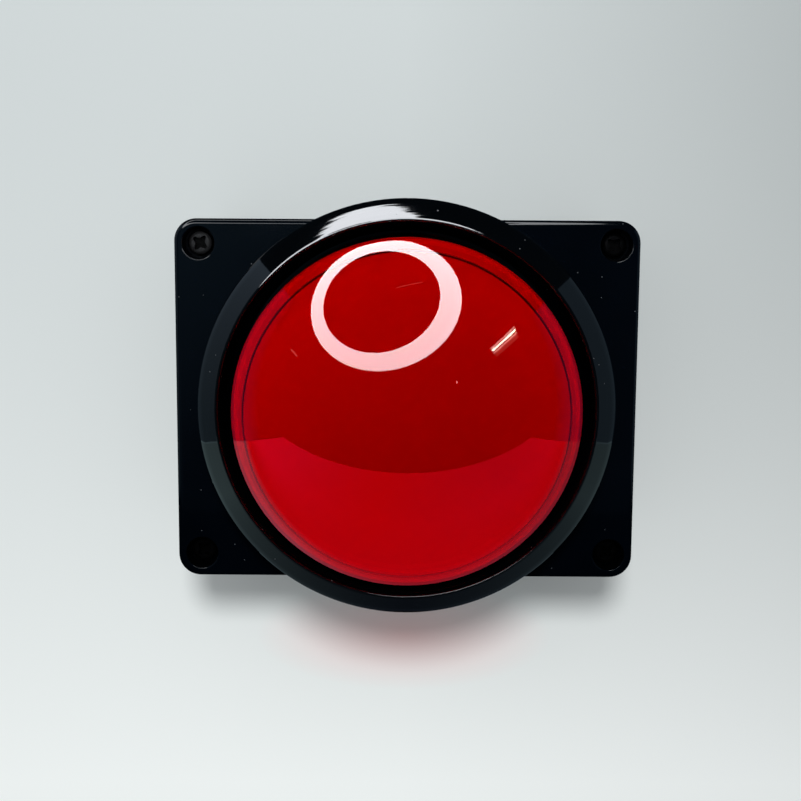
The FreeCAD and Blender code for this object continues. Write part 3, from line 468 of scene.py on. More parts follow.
def milky(name, cloud_size):
    """Milky red plastic: cloudy inside, paler towards its rim as painted light, with a faint grain
    on the skin.
    """
    finish, graph, point = new_finish(name)
    x, y, z = axes(graph, point)
    # Painted light: the shell is paler towards its rim, as if lit from the sides.
    rim_light = (from_axis(x, y) / SHELL_RADIUS) ** 3.0
    clouds = grain(graph, point, cloud_size, 3.0)
    surface(graph, {
        "Base Color": tone(graph, 0.9 * rim_light + 0.1 * clouds, MILKY_RED, RIM_LIGHT_RED),
        "Roughness": 0.5 + 0.1 * clouds,
        "Normal": relief(graph, grain(graph, point, 0.3 * MM), 0.004 * MM),
    })
    return finish


collar_finish = milky("frosted_collar", 4 * MM)
dress(milky("milky_red_shell", 7 * MM), "diffuser")

# %% [markdown]
# ## Turning the dome
#
# A lathe rule suits the cap: half of its section, swept once round the axis. The section starts
# on the axis at the top, runs down the sphere and the collar, and comes back up the inside, past
# a ledge and the groove. Curve to Mesh sweeps it along a circle, and its seam is welded.

# %% Lathe tree
TURN_RADIUS = 10 * MM


def creased(graph, mesh, crease):
    """Smooth faces, with a sharp edge wherever two of them meet at more than the crease."""
    smooth = graph.add("GeometryNodeSetShadeSmooth", {"domain": "FACE"}, {"Geometry": mesh})
    bend = graph.add("GeometryNodeInputMeshEdgeAngle", output="Unsigned Angle")
    return graph.add("GeometryNodeSetShadeSmooth", {"domain": "EDGE"}, {
        "Geometry": smooth, "Selection": bend > crease, "Shade Smooth": False})


def turned(graph, section, steps, crease):
    """Sweeps a section round the axis. Its X is radius less the circle's, its Y is minus Z."""
    path = graph.add("GeometryNodeCurvePrimitiveCircle", {}, {
        "Resolution": steps, "Radius": TURN_RADIUS})
    profile = graph.add("GeometryNodeMeshToCurve", {}, {"Mesh": section})
    swept = graph.add("GeometryNodeCurveToMesh", {}, {"Curve": path, "Profile Curve": profile})
    welded = graph.add("GeometryNodeMergeByDistance", {}, {"Geometry": swept, "Distance": WELD})
    return creased(graph, welded, crease)


def section_points(corners):
    """A section's radii and heights, as the points that the lathe sweeps."""
    return [(radius - TURN_RADIUS, -height, 0.0) for radius, height in corners]


graph, blank, size = open_tree("lathe", steps=int, crease=float, finish=bpy.types.Material)
lathe = close_tree(graph, turned(graph, blank, size["steps"], size["crease"]), size["finish"])
print("lathe inputs:", ", ".join(size))

# %% [markdown]
# ## The dome's section
#
# The cap is part of a sphere with a rounded edge and a short straight collar. The section could
# be drawn by eye, but the solid's own box gives its reach, its foot and its top, so the turned
# cap fits the space of the solid that it replaces. The rest is one sphere for the outside, one
# for the inside, and a notch for the fine groove.


# %% Arcs of a section
def sphere_arc(centre, radius, start, end, steps):
    """Points of a sphere's section, between two distances from the axis."""
    first, last = math.asin(start / radius), math.asin(end / radius)
    angles = [first + (last - first) * step / steps for step in range(steps + 1)]
    return [(radius * math.sin(angle), centre + radius * math.cos(angle)) for angle in angles]


def rounded_corner(before, corner, after, radius, steps):
    """The arc that rounds a corner of a section, from the side of before to that of after."""
    corner = Vector(corner)
    to_before = (Vector(before) - corner).normalized()
    to_after = (Vector(after) - corner).normalized()
    half = to_before.angle(to_after) / 2
    centre = corner + (to_before + to_after).normalized() * (radius / math.sin(half))
    start = corner + to_before * (radius / math.tan(half)) - centre
    end = corner + to_after * (radius / math.tan(half)) - centre
    sweep = start.angle_signed(end)
    turn = [Matrix.Rotation(-sweep * step / steps, 2) for step in range(steps + 1)]
    return [tuple(centre + matrix @ start) for matrix in turn]


print("sections are made of straight runs, sphere arcs and rounded corners")

# %% The dome's section
DOME_SPHERE = 56 * MM
DOME_WALL = 2.2 * MM
LEDGE_INSET = 3.3 * MM
LEDGE_RISE = 5.9 * MM
LINE_INSET = 3.6 * MM
LINE_WIDTH = 0.5 * MM
LINE_DEPTH = 0.38 * MM
EDGE_ROUND = 0.6 * MM
CAP_STEPS = 40
EDGE_STEPS = 3
ROUND_STEPS = 6
TURN_STEPS = 192
CREASE = math.radians(24)

dome_low, dome_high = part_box("dome_lens")
dome_radius, dome_foot = dome_high.x, dome_low.z
sphere_centre = dome_high.z - DOME_SPHERE
inner_sphere = DOME_SPHERE - DOME_WALL
inner_reach = dome_radius - DOME_WALL
ledge_reach = dome_radius - LEDGE_INSET
ledge_height = dome_foot + LEDGE_RISE
line_reach = dome_radius - LINE_INSET
outside = sphere_arc(sphere_centre, DOME_SPHERE, 0.0, dome_radius, CAP_STEPS)
edge = rounded_corner(outside[-2], outside[-1], (dome_radius, dome_foot), EDGE_ROUND, ROUND_STEPS)
line_floor = sphere_centre + math.sqrt(inner_sphere**2 - line_reach**2) + LINE_DEPTH
inside = (
    sphere_arc(sphere_centre, inner_sphere, 0.0, line_reach - LINE_WIDTH / 2, CAP_STEPS)
    + [(line_reach, line_floor)]
    + sphere_arc(sphere_centre, inner_sphere, line_reach + LINE_WIDTH / 2, ledge_reach, EDGE_STEPS)
    + [(ledge_reach, ledge_height), (inner_reach, ledge_height)]
)
foot = [(dome_radius, dome_foot), (inner_reach, dome_foot)]
red_dome = grow("red_dome", lathe, section_points(outside[:-1] + edge + foot + inside[::-1]),
                steps=TURN_STEPS, crease=CREASE, finish=dome_finish)

# %% [markdown]
# ## The frosted collar
#
# Where the cap grips the plunger its inner wall is frosted and hides what is below. A separate
# sleeve could do that, but faces that lie on each other flicker in a render, so the wall's own
# faces get the milky finish. They are picked by their place: a facet's middle lies a hair inside
# the circle, and the slack makes up for it.

# %% The frosted collar
FACET_SLACK = 1.0005

red_dome.data.materials.append(collar_finish)
frosted = 0
ledge_top = sphere_centre + math.sqrt(inner_sphere**2 - ledge_reach**2)
for face in red_dome.data.polygons:
    reach, height = face.center.xy.length * FACET_SLACK, face.center.z
    inside_wall = ledge_reach - WELD < reach < dome_radius - DOME_WALL / 2
    if inside_wall and height < ledge_top:
        face.material_index = 1
        frosted += 1
print("frosted faces:", frosted)
settle(red_dome, "button", "dome_red", "dome_lens")

# %% [markdown]
# ## Lid screws
#
# Four blackened pan-head screws sit at the bottom of the corner wells. A modelled copy of one
# screw could be pasted four times; here one tree turns the head and shank, cuts the cross recess
# with a rounded star, winds the thread and sets the screw on a two by two grid. Each one stops
# at its own angle, as hand-driven screws do. The upper left screw's head is greyer as painted
# light, where light reaches into its well, and the recesses are painted shade: masks pick them.

# %% Screw finish
RECESS_START = 0.4 * MM

screw_finish, graph, point = new_finish("blackened_steel")
rub = grain(graph, point, 0.5 * MM, 3.0)
x, y, z = axes(graph, point)
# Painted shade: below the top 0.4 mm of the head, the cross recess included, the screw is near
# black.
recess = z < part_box("lid_screws")[1].z - RECESS_START
# Painted light: the upper left screw's head is greyer, where light reaches into its well.
unlit_screws = 1 - (x < 0.0) * (y > 0.0)
painted_lit_grey = tone(graph, rub, rgb(0.004, 0.004, 0.0045), rgb(0.014, 0.014, 0.015))
black = tone(graph, rub, rgb(0.0015, 0.0015, 0.0018), rgb(0.004, 0.004, 0.0045))
coat = tone(graph, unlit_screws, painted_lit_grey, black)
surface(graph, {
    "Base Color": tone(graph, recess, coat, rgb(0.002, 0.002, 0.002)),
    "Roughness": 0.4 + 0.2 * rub,
    "Metallic": 0.3 + 0.6 * recess.maths("MAXIMUM", recess, unlit_screws),
    "Normal": relief(graph, rub, 0.01 * MM),
})
print(screw_finish.name, "is worn on one screw")

# %% Screw tree: head and recess
RECESS_ARMS = 4
RECESS_ENDS = 4


def straight_up(graph, height):
    """A vector along Z."""
    return graph.add("ShaderNodeCombineXYZ", {}, {"Z": height})


graph, blank, size = open_tree(
    "lid_screw", steps=int, crease=float, head_top=float, arm_reach=float, arm_root=float,
    arm_round=float, recess_depth=float, thread_radius=float, thread_height=float,
    thread_turns=float, thread_low=float, thread_length=float, spacing_x=float, spacing_y=float,
    seat=float, finish=bpy.types.Material)
body = turned(graph, blank, size["steps"], size["crease"])
axis_up = graph.add("GeometryNodeCurvePrimitiveLine", {}, {
    "Start": straight_up(graph, size["head_top"] - size["recess_depth"]),
    "End": straight_up(graph, size["head_top"] + size["recess_depth"])})
star = graph.add("GeometryNodeCurveStar", {}, {
    "Points": RECESS_ARMS, "Inner Radius": size["arm_root"], "Outer Radius": size["arm_reach"]})
star = graph.add("GeometryNodeFilletCurve", {"mode": "POLY"}, {
    "Curve": star, "Count": RECESS_ENDS, "Radius": size["arm_round"], "Limit Radius": True})
driver_tip = graph.add("GeometryNodeCurveToMesh", {}, {
    "Curve": axis_up, "Profile Curve": star, "Fill Caps": True})
cut = graph.add("GeometryNodeMeshBoolean", {"operation": "DIFFERENCE", "solver": "EXACT"}, {
    "Mesh 1": body, "Mesh 2": driver_tip})
cut = creased(graph, cut, size["crease"])
print("screw inputs:", ", ".join(size))

# %% Screw tree: thread and places
THREAD_STEPS = 20
THREAD_SIDES = 3
STOP_FIRST = math.radians(36)
STOP_LAST = math.radians(52)
STOP_SEED = 5

helix = graph.add("GeometryNodeCurveSpiral", {}, {
    "Resolution": THREAD_STEPS, "Rotations": size["thread_turns"],
    "Start Radius": size["thread_radius"], "End Radius": size["thread_radius"],
    "Height": size["thread_length"]})
ridge = graph.add("GeometryNodeCurvePrimitiveCircle", {}, {
    "Resolution": THREAD_SIDES, "Radius": size["thread_height"]})
thread = graph.add("GeometryNodeCurveToMesh", {}, {
    "Curve": helix, "Profile Curve": ridge, "Fill Caps": True})
thread = graph.add("GeometryNodeTransform", {}, {
    "Geometry": thread, "Translation": straight_up(graph, size["thread_low"])})
screw = graph.add("GeometryNodeJoinGeometry", {}, {"Geometry": [cut, thread]})
corners = graph.add("GeometryNodeMeshGrid", {}, {
    "Size X": size["spacing_x"], "Size Y": size["spacing_y"], "Vertices X": 2, "Vertices Y": 2})
stop = graph.add("FunctionNodeRandomValue", {"data_type": "FLOAT"}, {
    2: STOP_FIRST, 3: STOP_LAST, "Seed": STOP_SEED}, 1)
placed = graph.add("GeometryNodeInstanceOnPoints", {}, {
    "Points": corners, "Instance": screw, "Rotation": straight_up(graph, stop)})
placed = graph.add("GeometryNodeTransform", {}, {
    "Geometry": placed, "Translation": straight_up(graph, size["seat"])})
screw_tree = close_tree(graph, placed, size["finish"])
print(screw_tree.name, "tree has", len(screw_tree.nodes), "nodes")

# %% [markdown]
# ## The four lid screws, set in place
#
# The tree gets the sizes of a common small pan-head screw. The grid that the screws stand on
# could be typed in, but the solid screws' own box gives it: its reach less a head's radius on
# each side, and its top less the head's height for the seat.

# %% The four lid screws
HEAD_HEIGHT = 2.3 * MM
HEAD_RADIUS = 3.1 * MM
SHANK_RADIUS = 1.3 * MM
SCREW_LENGTH = 18 * MM
HEAD_ROUND = 1.15 * MM
SCREW_STEPS = 48

screws_low, screws_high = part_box("lid_screws")
crown_arc = rounded_corner((0.0, HEAD_HEIGHT), (HEAD_RADIUS, HEAD_HEIGHT), (HEAD_RADIUS, 0.0),
                           HEAD_ROUND, ROUND_STEPS)
screw_section = [(0.0, HEAD_HEIGHT)] + crown_arc + [
    (HEAD_RADIUS, 0.0), (SHANK_RADIUS, 0.0), (SHANK_RADIUS, 2 * SHANK_RADIUS - SCREW_LENGTH),
    (0.0, -SCREW_LENGTH)]
lid_screw_set = grow(
    "lid_screw_set", screw_tree, section_points(screw_section),
    steps=SCREW_STEPS, crease=CREASE, head_top=HEAD_HEIGHT,
    arm_reach=3.1 * MM, arm_root=1.15 * MM, arm_round=0.5 * MM, recess_depth=1.8 * MM,
    thread_radius=SHANK_RADIUS - 0.05 * MM, thread_height=0.2 * MM,
    thread_turns=10.0, thread_length=10 * MM, thread_low=-14.5 * MM,
    spacing_x=screws_high.x - screws_low.x - 2 * HEAD_RADIUS,
    spacing_y=screws_high.y - screws_low.y - 2 * HEAD_RADIUS,
    seat=screws_high.z - HEAD_HEIGHT, finish=screw_finish)
settle(lid_screw_set, "housing", "black_steel", "lid_screws")

# %% [markdown]
# ## Springs and the aerial
#
# The return spring lifts the dome, two small cones press on the cells, and a copper coil stands
# on the board as the aerial. All are wire wound by one rule: a spiral, whose end turns may lie
# closer, swept by a round wire. Only the sizes and the metal differ.


# %% Wire finishes
def drawn_wire(name, low, high, roughness):
    """Bright metal with fine draw marks and a little tarnish."""
    finish, graph, point = new_finish(name)
    tarnish = grain(graph, point, 1.8 * MM, 3.0)
    marks = grain(graph, point, (0.9 * MM, 0.9 * MM, 0.06 * MM))
    surface(graph, {
        "Base Color": tone(graph, tarnish, low, high),
        "Metallic": 1.0,
        "Roughness": roughness + 0.15 * tarnish,
        "Normal": relief(graph, marks, 0.004 * MM),
    })
    return finish


spring_finish = drawn_wire("spring_wire", rgb(0.36, 0.36, 0.38), rgb(0.6, 0.6, 0.62), 0.2)
aerial_finish = drawn_wire("copper_wire", rgb(0.5, 0.22, 0.12), rgb(0.8, 0.42, 0.26), 0.22)
print("wires:", spring_finish.name, "and", aerial_finish.name)

# %% Coil tree
graph, blank, size = open_tree(
    "coil", steps=int, sides=int, start_radius=float, end_radius=float, wire=float, turns=float,
    rise=float, closing=float, finish=bpy.types.Material)
spiral = graph.add("GeometryNodeCurveSpiral", {}, {
    "Resolution": size["steps"], "Rotations": size["turns"], "Start Radius": size["start_radius"],
    "End Radius": size["end_radius"], "Height": size["rise"]})
along = graph.add("GeometryNodeSplineParameter", output="Factor")
x, y, z = axes(graph, graph.add("GeometryNodeInputPosition"))
wave = along.maths("SINE", along * math.tau)
eased = size["rise"] * (along - size["closing"] * wave / math.tau)
wound = graph.add("GeometryNodeSetPosition", {}, {
    "Geometry": spiral,
    "Position": graph.add("ShaderNodeCombineXYZ", {}, {"X": x, "Y": y, "Z": eased})})
round_wire = graph.add("GeometryNodeCurvePrimitiveCircle", {}, {
    "Resolution": size["sides"], "Radius": size["wire"] / 2})
coil = graph.add("GeometryNodeCurveToMesh", {}, {
    "Curve": wound, "Profile Curve": round_wire, "Fill Caps": True})
coil = graph.add("GeometryNodeSetShadeSmooth", {"domain": "FACE"}, {"Geometry": coil})
coil_tree = close_tree(graph, coil, size["finish"])
print("coil inputs:", ", ".join(size))

# %% [markdown]
# ## The return spring
#
# A wide, short spring sits round the plunger and pushes the dome back up. It is wound once, at
# rest, with a mesh of its own.

# %% Return spring
COIL_STEPS = 64
WIRE_SIDES = 14
BLANK = [(0.0, 0.0, 0.0)]
RETURN_WIRE = 1.2 * MM
RETURN_TURNS = 4.0
RETURN_CLOSING = 0.72

low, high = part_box("return_spring")
return_radius = high.x - RETURN_WIRE / 2
return_coil = grow(
    "return_coil", coil_tree, BLANK, steps=COIL_STEPS, sides=WIRE_SIDES, start_radius=return_radius,
    end_radius=return_radius, wire=RETURN_WIRE, turns=RETURN_TURNS,
    rise=high.z - low.z - RETURN_WIRE, closing=RETURN_CLOSING, finish=spring_finish)
return_coil.data.transform(Matrix.Translation((0.0, 0.0, low.z + RETURN_WIRE / 2)))
settle(return_coil, "housing", "spring_steel", "return_spring")
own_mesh(return_coil)

# %% [markdown]
# ## Contact springs and aerial
#
# Each cell is held by a cone of wire that stands on its contact plate, and the aerial is an even
# coil. The same tree winds them upright at the origin. Their places go into the mesh, not into
# the object, because a finished piece stays at the origin.

# %% Contact springs and aerial
QUARTER_TURN = math.radians(90)
CONTACT_WIRE = 0.8 * MM
CONTACT_TIP = 0.55
AERIAL_WIRE = 0.9 * MM

for side, quarter in (("left", QUARTER_TURN), ("right", -QUARTER_TURN)):
    node = "contact_spring_" + side
    low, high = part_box(node)
    middle = (low + high) / 2
    wide = (high.x - low.x - CONTACT_WIRE) / 2
    seat_y = high.y - CONTACT_WIRE / 2 if side == "left" else low.y + CONTACT_WIRE / 2
    cone = grow(
        "contact_coil_" + side, coil_tree, BLANK, steps=COIL_STEPS, sides=WIRE_SIDES,
        start_radius=wide, end_radius=wide * CONTACT_TIP, wire=CONTACT_WIRE, turns=3.0,
        rise=high.y - low.y - CONTACT_WIRE, closing=0.3, finish=spring_finish)
    cone.data.transform(Matrix.Translation((middle.x, seat_y, middle.z))
                        @ Matrix.Rotation(quarter, 4, "X"))
    settle(cone, "housing", "spring_steel", node)

low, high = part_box("aerial_coil")
aerial_radius = (high.x - low.x - AERIAL_WIRE) / 2
aerial = grow(
    "aerial_helix", coil_tree, BLANK, steps=COIL_STEPS, sides=WIRE_SIDES,
    start_radius=aerial_radius, end_radius=aerial_radius, wire=AERIAL_WIRE, turns=5.0,
    rise=high.z - low.z - AERIAL_WIRE, closing=0.0, finish=aerial_finish)
aerial.data.transform(Matrix.Translation(((low.x + high.x) / 2, (low.y + high.y) / 2,
                                          low.z + AERIAL_WIRE / 2)))
settle(aerial, "housing", "aerial_copper", "aerial_coil")

# %% [markdown]
# ## Moulded pieces inside
#
# The nut, plunger, switch case, holder, tray and sockets are plain moulded plastic. One helper
# gives them all a drifting colour, a spark-eroded grain and shallow flow marks; only the colours,
# the roughness and the depth of the grain differ from piece to piece.


# %% Moulded plastics
def moulded(name, low, high, roughness, pore, depth):
    """Moulded plastic between two colours, with pores of this size and depth."""
    finish, graph, point = new_finish(name)
    drift = grain(graph, point, 8 * MM, 3.0)
    pores = grain(graph, point, pore)
    surface(graph, {
        "Base Color": tone(graph, drift, low, high),
        "Roughness": roughness + 0.14 * pores + 0.08 * drift,
        "Normal": relief(graph, pores, depth),
    })
    return finish


dress(moulded("nut_plastic", rgb(0.012, 0.012, 0.013), rgb(0.024, 0.024, 0.025), 0.4,
              0.3 * MM, 0.015 * MM), "panel_nut")
dress(moulded("plunger_plastic", rgb(0.014, 0.014, 0.016), rgb(0.026, 0.026, 0.028), 0.36,
              0.25 * MM, 0.008 * MM), "plunger")
dress(moulded("holder_plastic", rgb(0.02, 0.02, 0.021), rgb(0.036, 0.036, 0.036), 0.42,
              0.3 * MM, 0.012 * MM), "switch_holder")
dress(moulded("switch_case", rgb(0.016, 0.016, 0.018), rgb(0.03, 0.03, 0.034), 0.45,
              0.18 * MM, 0.01 * MM), "switch_body")
dress(moulded("switch_pin", rgb(0.42, 0.014, 0.012), rgb(0.56, 0.022, 0.018), 0.3,
              0.2 * MM, 0.004 * MM), "switch_pin")
dress(moulded("socket_nylon", rgb(0.7, 0.69, 0.63), rgb(0.84, 0.83, 0.78), 0.42,
              0.25 * MM, 0.006 * MM), "lead_sockets")
dress(moulded("tray_plastic", rgb(0.012, 0.012, 0.012), rgb(0.025, 0.025, 0.026), 0.48,
              0.35 * MM, 0.02 * MM), "battery_tray")
dress(moulded("seal_cord", rgb(0.012, 0.012, 0.012), rgb(0.03, 0.03, 0.03), 0.7,
              0.12 * MM, 0.02 * MM), "lid_gasket")

# %% [markdown]
# ## Stamped metal and leads
#
# Blades, lever and contact plates are stamped from sheet: rolling lines run along the strip and
# the colour clouds where fingers touched it. The leads have a soft extruded sleeve, a little
# uneven, with fine rings where the sleeve was drawn.


# %% Stamped metal and lead sleeves
def stamped(name, low, high, roughness):
    """Rolled sheet metal, cloudy where it was touched."""
    finish, graph, point = new_finish(name)
    touch = grain(graph, point, 2.5 * MM, 3.0)
    rolled = grain(graph, point, (0.05 * MM, 2.0 * MM, 2.0 * MM))
    surface(graph, {
        "Base Color": tone(graph, touch, low, high),
        "Metallic": 1.0,
        "Roughness": roughness + 0.18 * touch + 0.08 * rolled,
        "Normal": relief(graph, rolled, 0.003 * MM),
    })
    return finish


def lead_sleeve(name, low, high):
    """A soft drawn sleeve."""
    finish, graph, point = new_finish(name)
    uneven = grain(graph, point, 1.5 * MM, 2.0)
    rings = grain(graph, point, 0.15 * MM)
    surface(graph, {
        "Base Color": tone(graph, uneven, low, high),
        "Roughness": 0.42 + 0.15 * rings,
        "Normal": relief(graph, rings, 0.006 * MM),
    })
    return finish


dress(stamped("blade_brass", rgb(0.52, 0.36, 0.13), rgb(0.78, 0.6, 0.3), 0.22),
      "lamp_blades", "switch_blades")
dress(stamped("plated_strip", rgb(0.5, 0.5, 0.52), rgb(0.7, 0.7, 0.72), 0.2),
      "switch_lever", "battery_contacts")
dress(stamped("zinc_screw", rgb(0.48, 0.48, 0.5), rgb(0.68, 0.68, 0.7), 0.24), "board_screws")
dress(lead_sleeve("red_lead", rgb(0.42, 0.012, 0.012), rgb(0.54, 0.022, 0.02)),
      "lamp_lead_red", "battery_lead_red")
dress(lead_sleeve("black_lead", rgb(0.012, 0.012, 0.012), rgb(0.026, 0.026, 0.026)),
      "lamp_lead_black", "battery_lead_black")
dress(lead_sleeve("yellow_lead", rgb(0.56, 0.36, 0.02), rgb(0.72, 0.5, 0.04)), "switch_leads")

# %% [markdown]
# ## The transmitter board
#
# The board is green lacquer over copper: the tracks show as slightly paler, raised lines with
# square turns. Cells of a square lattice give such lines where two cells meet. The radio's can
# is tin plate, the chip is black with bright legs, and the capacitor has a sleeve and a bare top.

# %% Board lacquer
TRACK_CELL = 3.2 * MM
TRACK_SHARE = 0.11

board_finish, graph, point = new_finish("board_lacquer")
nearest = graph.add("ShaderNodeTexVoronoi", {"distance": "CHEBYCHEV", "feature": "F1"}, {
    "Vector": point, "Scale": 1 / TRACK_CELL}, "Distance")
second = graph.add("ShaderNodeTexVoronoi", {"distance": "CHEBYCHEV", "feature": "F2"}, {
    "Vector": point, "Scale": 1 / TRACK_CELL}, "Distance")
tracks = second - nearest < TRACK_SHARE
cloud = grain(graph, point, 4 * MM, 2.0)
lacquer = tone(graph, cloud, rgb(0.008, 0.1, 0.035), rgb(0.014, 0.13, 0.05))
surface(graph, {
    "Base Color": tone(graph, tracks, lacquer, rgb(0.03, 0.24, 0.09)),
    "Roughness": 0.25 + 0.1 * cloud,
    "Normal": relief(graph, tracks, 0.03 * MM),
})
dress(board_finish, "circuit_board")

# %% Radio can
SKIRT = 0.8 * MM

can_finish, graph, point = new_finish("tin_can")
low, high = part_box("radio_module")
x, y, z = axes(graph, point)
dimples = grain(graph, point, 1.2 * MM, 1.0)
skirt = z < low.z + SKIRT
plate = tone(graph, dimples, rgb(0.52, 0.52, 0.54), rgb(0.72, 0.72, 0.74))
surface(graph, {
    "Base Color": tone(graph, skirt, plate, rgb(0.02, 0.11, 0.045)),
    "Metallic": 1 - skirt,
    "Roughness": 0.24 + 0.2 * dimples,
    "Normal": relief(graph, dimples, 0.01 * MM),
})
dress(can_finish, "radio_module")

# %% Control chip
CHIP_HALF_WIDTH = 2.5 * MM

chip_finish, graph, point = new_finish("chip_and_legs")
low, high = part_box("control_chip")
x, y, z = axes(graph, point)
legs = abs(x - (low.x + high.x) / 2) > CHIP_HALF_WIDTH
mould = grain(graph, point, 0.12 * MM)
surface(graph, {
    "Base Color": tone(graph, legs, rgb(0.016, 0.016, 0.017), rgb(0.62, 0.62, 0.6)),
    "Metallic": legs,
    "Roughness": 0.55 - 0.3 * legs + 0.1 * mould,
    "Normal": relief(graph, mould, 0.006 * MM),
})
dress(chip_finish, "control_chip")

# %% Capacitor sleeve
BARE_DEPTH = 0.05 * MM
STRIPE_WIDTH = 0.9 * MM

capacitor_finish, graph, point = new_finish("capacitor_sleeve")
low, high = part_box("capacitor")
x, y, z = axes(graph, point)
bare_top = z > high.z - BARE_DEPTH
stripe = x > high.x - STRIPE_WIDTH
shrink = grain(graph, point, (2 * MM, 2 * MM, 0.3 * MM))
sleeve = tone(graph, stripe, rgb(0.016, 0.03, 0.1), rgb(0.3, 0.32, 0.36))
surface(graph, {
    "Base Color": tone(graph, bare_top, sleeve, rgb(0.66, 0.66, 0.68)),
    "Metallic": bare_top,
    "Roughness": 0.26 + 0.14 * shrink,
    "Normal": relief(graph, shrink, 0.012 * MM),
})
dress(capacitor_finish, "capacitor")

# %% [markdown]
# ## Cells and lamp
#
# The cells wear a plain printed sleeve that stops short of their bare steel ends, with one pale
# ring to mark the way round. The lamp is a white base with a milky bulb, which the light would
# fill evenly. Both are split by where a point lies along the piece.

# %% Cell sleeves
BARE_END = 1.8 * MM
RING_PLACE = 6.0 * MM
RING_HALF = 0.7 * MM

for cell, nub_side in (("cell_left", -1), ("cell_right", 1)):
    cell_finish, graph, point = new_finish(cell + "_sleeve")
    low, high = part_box(cell)
    x, y, z = axes(graph, point)
    nub_end = low.y if nub_side < 0 else high.y
    bare = (y < low.y + BARE_END) + (y > high.y - BARE_END)
    ring = abs(y - (nub_end - nub_side * RING_PLACE)) < RING_HALF
    scuff = grain(graph, point, (0.4 * MM, 3.0 * MM, 0.4 * MM), 3.0)
    print_coat = tone(graph, ring, rgb(0.05, 0.055, 0.06), rgb(0.55, 0.55, 0.5))
    surface(graph, {
        "Base Color": tone(graph, bare, print_coat, rgb(0.6, 0.6, 0.6)),
        "Metallic": bare,
        "Roughness": 0.24 + 0.2 * scuff,
        "Normal": relief(graph, scuff, 0.006 * MM),
    })
    dress(cell_finish, cell)

# %% Lamp finish
LAMP_BASE = 10 * MM

lamp_finish, graph, point = new_finish("milky_lamp")
low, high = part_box("led_lamp")
x, y, z = axes(graph, point)
bulb = z > low.z + LAMP_BASE
cloud = grain(graph, point, 1.6 * MM, 2.0)
milk = tone(graph, cloud, rgb(0.8, 0.79, 0.74), rgb(0.88, 0.88, 0.86))
surface(graph, {
    "Base Color": tone(graph, bulb, rgb(0.66, 0.66, 0.62), milk),
    "Roughness": 0.45 - 0.25 * bulb + 0.1 * cloud,
    "Normal": relief(graph, cloud, 0.01 * MM),
})
dress(lamp_finish, "led_lamp")

# %% [markdown]
# ## The floor
#
# The button lies on its back on one plain pale floor, which fills the view. The floor's colour
# is a soft grey that gets paler towards the bottom and the left, as painted shade, with a faint
# red glow below the dome as a painted reflection; the light stays plain.


# %% Flat things
def clamped(value):
    """The value, kept between 0 and 1."""
    return value.graph.add("ShaderNodeClamp", {}, {"Value": value})


def flat_mesh(name, corners):
    """One flat face through these corners."""
    mesh = bpy.data.meshes.new(name)
    mesh.from_pydata(corners, [], [tuple(range(len(corners)))])
    return mesh


def put(name, data):
    """A new object in the scene."""
    thing = bpy.data.objects.new(name, data)
    scene.collection.objects.link(thing)
    return thing


print("a flat thing is one face, linked to the scene by its name")

# %% Floor finish
VIEW_TOP = 110 * MM
VIEW_TALL = 234 * MM
DRIFT_CURVE = 1.8
RED_GLOW_Y = -78 * MM
RED_GLOW_WIDE = 44 * MM
RED_GLOW_TALL = 17 * MM

floor_finish, graph, point = new_finish("pale_floor")
x, y, z = axes(graph, point)
# Painted shade: the floor darkens towards the top and the right.
down = clamped((VIEW_TOP - y) / VIEW_TALL) ** DRIFT_CURVE
across = clamped(2 * x / VIEW_TALL)
top_row = tone(graph, across, rgb(0.555, 0.595, 0.595), rgb(0.4, 0.43, 0.43))
bottom_row = tone(graph, across, rgb(0.86, 0.895, 0.88), rgb(0.78, 0.81, 0.8))
drift = tone(graph, down, top_row, bottom_row)
# Painted reflection: a faint red glow of the dome on the floor below it.
painted_red_glow = clamped(1 - from_axis(x / RED_GLOW_WIDE, (y - RED_GLOW_Y) / RED_GLOW_TALL))
paper = grain(graph, point, 3 * MM, 3.0)
surface(graph, {
    "Base Color": tone(graph, painted_red_glow, drift, rgb(0.84, 0.61, 0.6)),
    "Roughness": 0.85 + 0.1 * paper,
    "Specular IOR Level": 0.1,
})
print(floor_finish.name, "blushes", round(-RED_GLOW_Y / MM), "mm below the middle")

# %% Floor
FLOOR_HALF = 1.6
FLOOR_DROP = 0.2 * MM

floor = put("floor", flat_mesh("floor", [
    (-FLOOR_HALF, -FLOOR_HALF, -FLOOR_DROP), (FLOOR_HALF, -FLOOR_HALF, -FLOOR_DROP),
    (FLOOR_HALF, FLOOR_HALF, -FLOOR_DROP), (-FLOOR_HALF, FLOOR_HALF, -FLOOR_DROP)]))
floor.data.materials.append(floor_finish)
floor.visible_glossy = False
print("floor", 2 * FLOOR_HALF, "m wide")

# %% [markdown]
# ## Soft light
#
# The sky is a pale grey that glows softly from the upper left, and one disc lamp adds a short
# shadow below the box. Together they light the floor at a plain level, where a colour renders
# about as it is written. The lamp stays out of reflections: the cards below are made for those.

# %% Lamp and sky
KEY_POWER = 3.7
KEY_SIZE = 0.12
KEY_PLACE = Vector((-0.01, 0.245, 0.7))
SKY = rgb(0.96, 0.98, 1.0)
SKY_LEVEL = 0.34
SKY_GLOW = 0.4
GLOW_SIDE = Vector((-0.4, 0.5, 0.77))
GLOW_SPREAD = 2.0

key_data = bpy.data.lights.new("soft_key", "AREA")
key_data.shape = "DISK"
key_data.size = KEY_SIZE
key_data.energy = KEY_POWER
key = put("soft_key", key_data)
key.location = KEY_PLACE
key.rotation_euler = (-KEY_PLACE).to_track_quat("-Z", "Y").to_euler()
key.visible_glossy = False
key.visible_transmission = False

